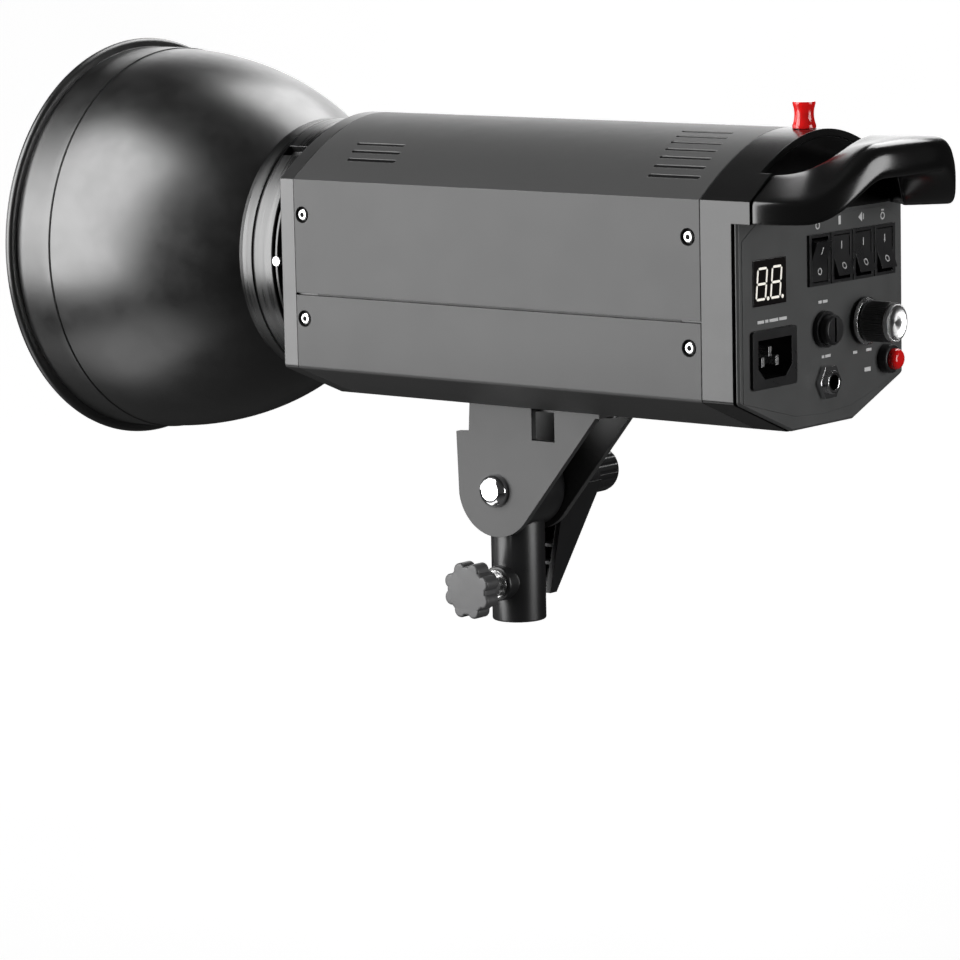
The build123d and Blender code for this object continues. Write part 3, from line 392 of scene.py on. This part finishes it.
def reflector():
    """The spun dish: rolled bead, straight lip, a spun step, and an elliptical bowl."""
    lip_r = RIM_R - 2 * BEAD_R + 0.4 * MM
    middle = RIM_X + DISH_CENTRE
    length = (NECK_X - middle) / math.sqrt(1 - (NECK_R / lip_r) ** 2)
    bead_centre = (RIM_X + BEAD_R, RIM_R - BEAD_R)
    bead = arc_points(bead_centre, (BEAD_R, BEAD_R), -60, 250, 18)

    def bowl(offset):
        radii = (length - offset, lip_r - offset)
        start = math.degrees(math.acos((RIM_X + LIP_LENGTH - middle) / radii[0]))
        end = math.degrees(math.acos((NECK_X - offset - middle) / radii[0]))
        return arc_points((middle, 0), radii, start, end, 48)

    outside = bowl(0)
    groove_x = RIM_X + LIP_LENGTH
    step = [(groove_x - 1.6 * MM, lip_r + 0.3 * MM), (groove_x - 0.7 * MM, lip_r + 0.25 * MM),
            (groove_x - 0.3 * MM, lip_r - 0.7 * MM)]
    lip = [(RIM_X + (5 + 3 * n) * MM, lip_r + 0.3 * MM) for n in range(6)]
    inside = bowl(DISH_T)[::-1]
    inner_lip = [(RIM_X + (20 - 4 * n) * MM, lip_r - DISH_T) for n in range(5)]
    neck = [(NECK_X, FLANGE_R), (NECK_X - DISH_T, FLANGE_R)]
    profile = bead[::-1][:15] + lip + step + outside + neck + inside + inner_lip
    first_inside = len(profile) - len(inside) - len(inner_lip) - 1
    mesh = lathe("reflector_dish", profile, (0, 0, LIGHT_Z), (1, 0, 0), 192,
                 spans=((first_inside, len(profile) - 1, 1),))
    dish = piece("reflector_dish", mesh, ["reflector_black", "reflector_silver"], "reflector")
    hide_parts("reflector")


RING_LOW, RING_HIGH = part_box("mount_ring")
RING_R = (RING_HIGH[2] - RING_LOW[2]) / 2
NOTCH_ANGLE = math.radians(-53)     # above the operator's side, counted from -Y
NOTCH_HALF = 2.6 * MM
NOTCH_DEPTH = 3.0 * MM


def mount_ring():
    """The fixed bayonet ring: neck, thin flange, groove and a wide satin band; the neck and the groove carry the
    near-black recess colour as painted shade.
    """
    x0, x1 = RING_LOW[0], RING_HIGH[0]
    bore, neck_r = 50 * MM, 53 * MM
    r = RING_R
    edge = 0.5 * MM
    flange_x, groove_x, band_x = x1 - 3 * MM, x1 - 4.6 * MM, x1 - 5.8 * MM
    flange_r, groove_r = r - 0.6 * MM, r - 2.0 * MM
    notch_x0, notch_x1 = x1 - 16.0 * MM, x1 - 6.1 * MM
    profile = [(x1, bore), (x1, neck_r), (flange_x, neck_r), (flange_x, r - 0.9 * MM),
               (x1 - 3.3 * MM, flange_r), (x1 - 4.3 * MM, flange_r),
               (groove_x, r - 0.9 * MM), (groove_x, groove_r),
               (band_x, groove_r), (band_x, r - edge), (notch_x1, r),
               (notch_x0, r), (notch_x0 - 0.1 * MM, r), (x0 + 0.7 * MM, r - 0.15 * MM),
               (x0, r - edge), (x0, bore)]

    def shape(along, radius, angle):
        turn = (angle - NOTCH_ANGLE + math.pi) % (2 * math.pi) - math.pi
        if notch_x0 - 0.01 * MM < along < x1 - 5.7 * MM and abs(turn) * r < NOTCH_HALF:
            return min(radius, r - NOTCH_DEPTH)
        return radius

    # the spans give the neck and groove faces the near-black recess colour: painted shade in the gap
    mesh = lathe("bayonet_ring", profile, (0, 0, LIGHT_Z), (1, 0, 0), 720, shape=shape,
                 spans=((1, 3, 1), (6, 9, 1)), start=(0, -1, 0))
    ring = piece("bayonet_ring", mesh, ["ring_metal", "dark_recess"], "head")
    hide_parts("mount_ring")


def reflector_collar():
    """The narrow satin band that turns with the dish."""
    low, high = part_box("reflector_collar")
    x0, x1 = low[0], high[0]
    joint = RING_LOW[0] - 0.1 * MM
    sleeve = 49.95 * MM
    r = RING_R
    profile = [(x1, sleeve - 2 * MM), (x1, sleeve - 0.4 * MM), (x1 - 0.4 * MM, sleeve), (joint, sleeve),
               (joint, r - 0.5 * MM), (joint - 0.5 * MM, r), (x0 + 3.2 * MM, r - 0.2 * MM),
               (x0 + 2.8 * MM, r - 0.7 * MM), (x0 + 0.8 * MM, r - 1.0 * MM), (x0, r - 1.8 * MM),
               (x0, sleeve - 2 * MM)]
    mesh = lathe("bayonet_collar", profile, (0, 0, LIGHT_Z), (1, 0, 0), 256)
    collar = piece("bayonet_collar", mesh, "ring_metal", "reflector")
    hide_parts("reflector_collar")


# ---- Handle -----------------------------------------------------------------------------

COVER_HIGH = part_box("rear_cover")[1]
PANEL_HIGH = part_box("rear_panel")[1]
HALF_WIDTH = COVER_HIGH[1]
EAVE_Z = LIGHT_Z + 36.2 * MM
CREST_Z = COVER_HIGH[2]
HOOD_Z = LIGHT_Z + 27.2 * MM
LEG_Y = 44.0 * MM                   # inner side of each leg
COVER_T = 3.15 * MM                 # the hood's thickness with its gap
ROOF_POWER = 1.79


def roof_z(y, inset):
    """Height of the casing's arched roof, a little inside its surface."""
    share = min(abs(y) / (HALF_WIDTH - inset), 1.0)
    rise = CREST_Z - EAVE_Z - 0.7 * inset
    return EAVE_Z - 0.3 * inset + rise * (1 - share ** ROOF_POWER)


def swell(y, outer, inner):
    """0 beyond the outer distance from the middle, 1 within the inner, smooth between."""
    t = max(0.0, min(1.0, (outer * MM - abs(y)) / ((outer - inner) * MM)))
    return t * t * (3 - 2 * t)


def rounded_corner(a, b, c, size, steps=4):
    """Points round a corner at b, between a and c."""
    start = b + (a - b).normalized() * min(size, (a - b).length * 0.48)
    end = b + (c - b).normalized() * min(size, (c - b).length * 0.48)
    return [start * (1 - t) ** 2 + b * 2 * t * (1 - t) + end * t ** 2
            for t in (n / steps for n in range(steps + 1))]


def handle_bow():
    """The moulded bow: flush with the cover at its legs, then swept up and over to the rear."""
    x0 = PANEL_HIGH[0]
    seam_x = COVER_HIGH[0] + 0.1 * MM
    outer_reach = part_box("handle")[1][0] - x0
    inner_reach = 24.0 * MM
    outer_power, inner_power = 0.87, 0.9
    outer_rise, inner_rise, low_rise = 23.2 * MM, 13.4 * MM, 16.3 * MM
    inner_step = 10.0 * MM              # the inner edge's height over the eave at the legs

    def plan(half, reach, power, share):
        """A point on a superellipse; share runs from -1 to 1 between the two seams."""
        last = math.acos(((seam_x - x0) / reach) ** (1 / power))
        angle = last * share
        side = math.copysign(abs(math.sin(angle)) ** power, share)
        return Vector((x0 + reach * math.cos(angle) ** power, side * half))

    def section(share):
        outer = plan(HALF_WIDTH, outer_reach, outer_power, share)
        inner = plan(LEG_Y, inner_reach, inner_power, share)
        lift = swell(outer.y, 54, 24)
        outer_top = EAVE_Z + outer_rise * lift
        inner_top = EAVE_Z + inner_step + inner_rise * swell(inner.y, 44, 0)
        low = HOOD_Z + low_rise * swell(outer.y, 52, 20)
        points = [Vector((*inner, low + 1.5 * lift * MM)), Vector((*inner, inner_top)),
                  Vector((*outer, outer_top)), Vector((*outer, low))]
        sizes = (1.5 + 2.5 * lift, 1.4 + 1.0 * lift, 2.0 + 8.0 * lift, 0.8 + 4.2 * lift)
        ring = []
        for k in range(4):
            ring += rounded_corner(points[k - 1], points[k], points[(k + 1) % 4], sizes[k] * MM)
        return ring

    def root(side, x, ring):
        """The leg's end, drawn in so that it sits inside the cover's ear."""
        points = []
        for p in ring:
            y = min(abs(p.y), HALF_WIDTH - COVER_T)
            y = max(y, LEG_Y + 0.1 * MM)
            z = max(min(p.z, roof_z(y, 0) - COVER_T), HOOD_Z + 0.3 * MM)
            points.append(Vector((x, side * y, z)))
        return points

    count = 72
    rings = [section(2 * n / count - 1) for n in range(count + 1)]
    near = [root(-1, x, rings[0]) for x in (x0 + 0.7 * MM, seam_x - 0.2 * MM)]
    far = [root(1, x, rings[-1]) for x in (seam_x - 0.2 * MM, x0 + 0.7 * MM)]
    bm = bmesh.new()
    rows = [[bm.verts.new(p) for p in ring] for ring in near + rings + far]
    for here, there in zip(rows, rows[1:]):
        for k in range(len(here)):
            j = (k + 1) % len(here)
            bm.faces.new((here[k], here[j], there[j], there[k]))
    bm.faces.new(rows[0])
    bm.faces.new(rows[-1])
    mesh = sharpen(to_mesh("handle_bow", bm), 50)
    bow = piece("handle_bow", mesh, "gloss_black", "head")
    smooth = bow.modifiers.new("smooth", "SUBSURF")
    smooth.levels = smooth.render_levels = 1
    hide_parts("handle")


def handle_plate():
    """The handle moulding's plate, set back under the hood, behind the finger gap."""
    half = HALF_WIDTH - COVER_T
    steps = 40
    arch = []
    for n in range(steps + 1):
        y = -half + 2 * half * n / steps
        arch.append((y, roof_z(y, COVER_T)))
    low = HOOD_Z + 0.2 * MM
    outline = [(half, low), (-half, low)] + arch
    place = panel_place(0, 0, PANEL_HIGH[0] - FACE_X + 0.1 * MM)
    mesh = prism("handle_plate", outline, place, 0.6 * MM)
    piece("handle_plate", mesh, "gloss_black", "head")


def paint_vent_shade():
    """Painted shade: black boxes just under the roof, one behind each cooling slot, that darken the vent openings.
    """
    meshes = []
    half = 0.95 * MM
    depths = (0.15 * MM, 1.3 * MM)
    sides = ((0, 1, 2, 3), (7, 6, 5, 4), (0, 4, 5, 1), (1, 5, 6, 2), (2, 6, 7, 3), (3, 7, 4, 0))
    light_end = [(-52.0 - 1.5 * n, 27.0, 47.0 - 5.0 * n) for n in range(3)]
    panel_end = [(110.5 - 1.2 * n, 26.0, 48.0 - 5.5 * n) for n in range(7)]
    for side in (-1, 1):
        for x0, length, y in light_end + panel_end:
            low, high = x0 * MM, (x0 + length) * MM
            bm = bmesh.new()
            corners = []
            for drop in depths:
                for x, dy in ((low, -half), (high, -half), (high, half), (low, half)):
                    place_y = side * y * MM + dy
                    corners.append(bm.verts.new((x, place_y, roof_z(place_y, 0) - drop)))
            for side_corners in sides:
                bm.faces.new([corners[k] for k in side_corners])
            meshes.append(to_mesh("shade_box", bm, smooth=False))
    # the near-black recess colour on these boxes is painted shade inside the slots
    piece("vent_shade_fill", join_meshes("vent_shade_fill", meshes), "dark_recess", "head")


def screw_recess_shade():
    """Painted shade: black cups lining the casing screws' recesses, and a dark fill in each screw's hex socket."""
    low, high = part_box("casing_screws")
    cup_r, hole_r, rim = 3.55 * MM, 2.7 * MM, 0.9 * MM
    cup = [(0, hole_r), (0, cup_r), (rim, cup_r), (rim, 3.35 * MM), (0.25 * MM, 3.2 * MM),
           (0.25 * MM, hole_r)]
    hex_r, hex_low, hex_high = 1.09 * MM, 0.4 * MM, 1.35 * MM
    socket = [(hex_low, 0.0), (hex_low, hex_r), (hex_high, hex_r), (hex_high, 0.0)]
    head_r = 2.6 * MM
    skin = HALF_WIDTH - 1.68 * MM       # the bottom of the recesses
    meshes = []
    for side in (-1, 1):
        for x in (low[0] + head_r, high[0] - head_r):
            for z in (low[2] + head_r, high[2] - head_r):
                meshes.append(lathe("cup", cup, (x, side * skin, z), (0, side, 0), 32))
                meshes.append(lathe("socket", socket, (x, side * skin, z), (0, side, 0), 24))
    # the near-black recess colour on the cups and socket fills is painted shade in those hollows
    piece("screw_recess_shade", join_meshes("screw_recess_shade", meshes), "dark_recess", "head")


# ---- Rear panel details ------------------------------------------------------------------

def seven_segment_bars(height, width, thick, slant):
    """Outlines of the seven bars of one digit, centred on the origin."""
    gap = 0.3 * MM
    h, w, t = height / 2, width / 2, thick / 2

    def lean(points):
        return [(u + slant * v, v) for u, v in points]

    def across(v):
        a, b = -w + gap, w - gap
        return lean([(a, v), (a + t, v + t), (b - t, v + t), (b, v), (b - t, v - t), (a + t, v - t)])

    def upright(u, v0, v1):
        a, b = v0 + gap, v1 - gap
        return lean([(u, a), (u - t, a + t), (u - t, b - t), (u, b), (u + t, b - t), (u + t, a + t)])

    bars = [across(v) for v in (h, 0.0, -h)]
    bars += [upright(u, v0, v1) for u in (-w, w) for v0, v1 in ((-h, 0.0), (0.0, h))]
    return bars


def round_outline(radius, steps=24):
    return [(radius * math.cos(2 * math.pi * n / steps), radius * math.sin(2 * math.pi * n / steps))
            for n in range(steps)]


def display_digits():
    """Two lit digits with their points, raised a hair over the dark window's face."""
    low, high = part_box("display_window")
    middle = (Vector(low) + Vector(high)) / 2
    lift = high[0] - FACE_X + 0.02 * MM
    thick = 0.12 * MM
    meshes = []
    for side in (-1, 1):
        y = middle.y + side * 5.0 * MM - 0.6 * MM
        for bar in seven_segment_bars(12.4 * MM, 6.3 * MM, 0.95 * MM, 0.12):
            place = panel_place(y, middle.z - 0.4 * MM, lift)
            meshes.append(prism("bar", bar, place, thick))
        dot = panel_place(y + 4.3 * MM, middle.z - 6.6 * MM, lift)
        meshes.append(prism("dot", round_outline(0.8 * MM), dot, thick))
    piece("display_digits", join_meshes("display_digits", meshes), "digit_white", "head")


ROCKER_TILT = 9                     # degrees from level at rest; the power rocker leans the other way


def rocker_marks():
    """A bar and a ring printed on each rocker's two halves."""
    bodies = ("power_rocker", "model_rocker", "beep_rocker", "slave_rocker")
    for joint in frame["joints"]:
        body = joint["child"]
        if body not in bodies:
            continue
        pivot = Vector(joint["pos_m"])
        tilt = math.radians(ROCKER_TILT if body == "power_rocker" else -ROCKER_TILT)
        turn = Matrix.Translation(pivot) @ Matrix.Rotation(tilt, 4, "Y")
        meshes = []
        for up in (1, -1):
            slope = Matrix.Rotation(math.atan2(1.4, 8.3) * up, 4, "Y")
            place = turn @ Matrix.Translation(mm(3.62, 0, 4.3 * up)) @ slope
            flat = place @ Matrix(((0, 0, 1), (1, 0, 0), (0, 1, 0))).to_4x4()
            if up > 0:
                shape = [(-0.28 * MM, -1.6 * MM), (0.28 * MM, -1.6 * MM),
                         (0.28 * MM, 1.6 * MM), (-0.28 * MM, 1.6 * MM)]
                meshes.append(prism("mark", shape, flat, 0.1 * MM))
            else:
                profile = [(0, 1.0 * MM), (0, 1.45 * MM), (0.1 * MM, 1.45 * MM), (0.1 * MM, 1.0 * MM)]
                origin = flat @ Vector((0, 0, 0))
                normal = flat.to_3x3() @ Vector((0, 0, 1))
                meshes.append(lathe("mark", profile, origin, normal, 28))
        piece(f"{body}_marks", join_meshes(f"{body}_marks", meshes), "white_print", body)


PRINT_T = 0.05 * MM


def bar_mark(y, z, width, height):
    """A small printed bar on the control panel."""
    outline = [(-width / 2, -height / 2), (width / 2, -height / 2),
               (width / 2, height / 2), (-width / 2, height / 2)]
    return prism("bar", outline, panel_place(y, z), PRINT_T)


def panel_marks():
    """Plain printed marks beside the controls: short dashes and simple symbols, no words."""
    meshes = []

    gap = 0.8
    pitch = 15.7 * MM                   # from one rocker to the next

    def dashes(node, rise, widths, height=1.2 * MM, shift=0.0):
        """A row of dashes, widths in mm, above or below a control."""
        spot = centre(node)
        total = sum(widths) + gap * (len(widths) - 1)
        u = spot.y + shift - total * MM / 2
        for width in widths:
            meshes.append(bar_mark(u + width * MM / 2, spot.z + rise, width * MM, height))
            u += (width + gap) * MM

    dashes("fuse_cap", 11.3 * MM, (2.4, 3.4))
    dashes("inlet_housing", 15.2 * MM, (4.5, 2.2, 6.0, 5.2), 1.3 * MM)
    dashes("jack_nut", 10.6 * MM, (1.8, 3.8))
    dashes("power_knob", -12.6 * MM, (3.0,), shift=-6 * MM)
    dashes("power_knob", -12.6 * MM, (4.0,), shift=4 * MM)
    dashes("test_button", -3.2 * MM, (4.6,), 1.8 * MM, shift=-13 * MM)
    housings_low, housings_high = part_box("switch_housings")
    for n in range(4):
        y = housings_low[1] + 7.5 * MM + pitch * n
        z = housings_high[2] + 4.4 * MM
        if n in (0, 3):
            ring = [(0, 1.0 * MM), (0, 1.6 * MM), (0.06 * MM, 1.6 * MM), (0.06 * MM, 1.0 * MM)]
            meshes.append(lathe("ring", ring, (FACE_X, y, z - 0.9 * MM), (1, 0, 0), 28))
            meshes.append(bar_mark(y, z + 1.5 * MM, 1.9 * MM, 0.7 * MM))
        if n == 1:
            meshes.append(bar_mark(y, z, 1.7 * MM, 3.6 * MM))
        if n == 2:
            wedge = [(-2.2 * MM, 0), (0.6 * MM, -2.0 * MM), (0.6 * MM, 2.0 * MM)]
            meshes.append(prism("wedge", wedge, panel_place(y, z), PRINT_T))
            meshes.append(bar_mark(y + 1.6 * MM, z, 0.6 * MM, 2.4 * MM))
    piece("panel_marks", join_meshes("panel_marks", meshes), "white_print", "head")


def jack_bush():
    """The sync socket's plated bush, over the end of its barrel."""
    spot = centre("jack_nut")
    end_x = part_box("sync_jack")[1][0]
    start_x = FACE_X + 1.0 * MM
    barrel_r, bush_r, bore_r = 4.51 * MM, 4.9 * MM, 3.25 * MM
    seat_x = end_x + 0.02 * MM
    profile = [(start_x, barrel_r), (start_x, bush_r), (end_x - 0.3 * MM, bush_r),
               (end_x + 0.2 * MM, 4.5 * MM), (end_x + 0.3 * MM, 4.1 * MM),
               (end_x + 0.1 * MM, bore_r), (seat_x, bore_r), (seat_x, barrel_r)]
    mesh = lathe("jack_bush", profile, (0, spot.y, spot.z), (1, 0, 0), 64)
    piece("jack_bush", mesh, "chrome_metal", "head")


def power_knob():
    """The power knob: a ribbed grey body on a bright ring, with a pointer line and a dished face."""
    low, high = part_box("power_knob")
    middle = (Vector(low) + Vector(high)) / 2
    origin = (0, middle.y, middle.z)
    x0, x1 = low[0], high[0]
    r, hole_r, ring_r, cap_r = 8.4 * MM, 2 * MM, 9.9 * MM, 8.2 * MM
    rib_count, rib_height = 48, 0.16 * MM

    def ribs(along, radius, angle):
        if radius > r - 0.5 * MM and x0 + 3 * MM < along < x1 - 0.5 * MM:
            return radius + rib_height * math.cos(angle * rib_count)
        return radius

    back_x = x0 + 1.7 * MM
    body = [(back_x, hole_r), (back_x, r - 0.3 * MM), (x0 + 2.2 * MM, r), (x0 + 3.4 * MM, r),
            (x1 - 3.0 * MM, r - 0.15 * MM), (x1 - 1.0 * MM, r - 0.2 * MM), (x1 - 0.3 * MM, r - 0.4 * MM),
            (x1, r - 0.9 * MM), (x1, hole_r)]
    mesh = lathe("knob_body", body, origin, (1, 0, 0), 288, shape=ribs)
    knob = piece("knob_body", mesh, "knob_grey", "power_knob")
    ring = [(x0, 4 * MM), (x0, ring_r - 0.3 * MM), (x0 + 0.3 * MM, ring_r), (x0 + 1.0 * MM, ring_r),
            (x0 + 1.6 * MM, ring_r - 0.6 * MM), (x0 + 1.6 * MM, 4 * MM)]
    piece("knob_ring", lathe("knob_ring", ring, origin, (1, 0, 0), 96), "aluminium", "power_knob")
    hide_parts("power_knob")
    pointer = Matrix.Translation((x1 - 6 * MM, middle.y, middle.z + r))
    half, half_width = 4.6 * MM, 0.35 * MM
    outline = [(-half, -half_width), (half, -half_width), (half, half_width), (-half, half_width)]
    mark = prism("knob_pointer", outline, pointer, 0.12 * MM)
    piece("knob_pointer", mark, "white_print", "power_knob")
    cap_low, cap_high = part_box("knob_cap")
    x2, x3 = cap_low[0], cap_high[0]
    cap = [(x2, 0.0), (x2, cap_r - 0.2 * MM), (x2 + 0.2 * MM, cap_r), (x3 - 0.5 * MM, cap_r),
           (x3, cap_r - 0.5 * MM), (x3, 7.3 * MM), (x3 - 0.25 * MM, 7.0 * MM), (x3 - 0.7 * MM, 3.5 * MM),
           (x3 - 1.15 * MM, 0.0)]
    disc = piece("knob_face", lathe("knob_face", cap, origin, (1, 0, 0), 96), "spun_silver", "power_knob")
    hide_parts("knob_cap")


# ---- Stage, light and camera -----------------------------------------------------------

FLOOR_TURN = math.radians(-39.4)    # lines the sweep up with the camera's heading
FLOOR_Z = -0.9
FLOOR_HALF_WIDTH = 7
FLOOR_NEAR = -4.0
BACKDROP_TOP = 4.5
FLOOR_GLOW = 0.8                    # the camera sees the paper brighter than it lights the head
FLOOR_DIM = (0.06, 0.06, 0.06)      # what reflections and bounced light see of the paper
WORLD_SEEN = 0.95                   # the world's strength to the camera
WORLD_LIT = 0.045                   # and to everything else


def stage():
    """A pale floor that sweeps up into a backdrop, well below the head."""
    back, bend = 3.4, 0.9
    profile = [(FLOOR_NEAR, FLOOR_Z)]
    for degrees in range(0, 91, 6):
        angle = math.radians(degrees)
        profile.append((back - bend + bend * math.sin(angle), FLOOR_Z + bend - bend * math.cos(angle)))
    profile.append((back, BACKDROP_TOP))
    turn = Matrix.Rotation(FLOOR_TURN, 4, "Z").inverted()
    bm = bmesh.new()
    edges = (-FLOOR_HALF_WIDTH, FLOOR_HALF_WIDTH)
    rows = [[bm.verts.new(turn @ Vector((x, d, z))) for x in edges] for d, z in profile]
    for a, b in zip(rows, rows[1:]):
        bm.faces.new((a[0], a[1], b[1], b[0]))
    mesh = to_mesh("floor_sweep", bm)
    floor = bpy.data.objects.new("floor_sweep", mesh)
    bpy.context.scene.collection.objects.link(floor)
    s = Shader("floor_paper")
    paper = s.mix(s.span(s.noise(3.0), 0.0, 1.0), (0.62, 0.62, 0.62), (0.66, 0.66, 0.66))
    seen = s.add("ShaderNodeMix", data_type="RGBA")
    seen.inputs["A"].default_value = (*FLOOR_DIM, 1)
    s.link(paper, seen.inputs["B"])
    s.put("Roughness", 0.9)
    s.put("Specular IOR Level", 0.1)
    s.put("Emission Color", (1, 1, 1, 1))
    path = s.add("ShaderNodeLightPath")
    s.link(path.outputs["Is Camera Ray"], seen.inputs["Factor"])
    s.link(seen.outputs["Result"], s.bsdf.inputs["Base Color"])
    shine = s.span(path.outputs["Is Camera Ray"], 0.0, FLOOR_GLOW, 0.0, 1.0)
    s.link(shine, s.bsdf.inputs["Emission Strength"])
    mesh.materials.append(s.material)


def area(name, place, aim, size, radiance):
    """A soft box that the camera doesn't see, given how bright its face is."""
    light = bpy.data.lights.new(name, "AREA")
    light.shape = "RECTANGLE"
    light.size, light.size_y = size
    light.energy = radiance * math.pi * size[0] * size[1]
    lamp = bpy.data.objects.new(name, light)
    lamp.location = place
    lamp.rotation_euler = (Vector(aim) - Vector(place)).to_track_quat("-Z", "Y").to_euler()
    lamp.visible_camera = False
    bpy.context.scene.collection.objects.link(lamp)


def lights():
    """Six soft boxes round the head, and a dim world that only the camera sees as bright."""
    aim = (0.0, 0.0, LIGHT_Z)
    area("key", (-0.79, -1.17, 0.65), aim, (1.15, 2.3), 7.5)
    area("top", (-0.15, 0.95, 1.3), aim, (0.9, 1.0), 6.2)
    area("side", (1.55, 0.36, 0.2), aim, (0.8, 0.9), 8.0)
    area("back", (-1.1, 1.5, 0.72), aim, (1.6, 1.1), 2.0)
    area("low", (-0.44, -0.55, -0.69), aim, (0.9, 0.5), 1.4)
    area("front", (-1.7, -0.35, 0.25), aim, (0.8, 0.8), 2.5)
    world = bpy.data.worlds.new("studio")
    bpy.context.scene.world = world
    world.use_nodes = True
    tree = world.node_tree
    background = tree.nodes["Background"]
    background.inputs["Color"].default_value = (1, 1, 1, 1)
    path = tree.nodes.new("ShaderNodeLightPath")
    strength = tree.nodes.new("ShaderNodeMapRange")
    strength.inputs["To Min"].default_value = WORLD_LIT
    strength.inputs["To Max"].default_value = WORLD_SEEN
    tree.links.new(path.outputs["Is Camera Ray"], strength.inputs["Value"])
    tree.links.new(strength.outputs["Result"], background.inputs["Strength"])
    bpy.context.scene.view_settings.view_transform = "Standard"


CAMERA_PLACE = (1.1801, -1.4638, 0.3547)
CAMERA_AZIMUTH = 39.3640            # degrees round from -Y towards +X
CAMERA_LOOK_DOWN = 8.8655
CAMERA_ROLL = -1.2295
CAMERA_LENS = 163.9                 # mm, on a sensor 36 mm wide


def camera():
    """A long lens on the panel's quarter, a little above the head and slightly rolled."""
    data = bpy.data.cameras.new("camera")
    data.lens = CAMERA_LENS
    data.sensor_width = 36
    data.clip_end = 20
    cam = bpy.data.objects.new("camera", data)
    heading = Matrix.Rotation(math.radians(CAMERA_AZIMUTH), 4, "Z")
    pitch = Matrix.Rotation(math.radians(90 - CAMERA_LOOK_DOWN), 4, "X")
    roll = Matrix.Rotation(math.radians(CAMERA_ROLL), 4, "Z")
    cam.matrix_world = Matrix.Translation(CAMERA_PLACE) @ heading @ pitch @ roll
    bpy.context.scene.collection.objects.link(cam)
    bpy.context.scene.camera = cam


dress_frame()
for cad_node in NODES.values():
    soften(cad_node)
reflector()
mount_ring()
reflector_collar()
handle_bow()
handle_plate()
paint_vent_shade()
screw_recess_shade()
jack_bush()
display_digits()
rocker_marks()
panel_marks()
power_knob()
stage()
lights()
camera()

bpy.context.view_layer.update()
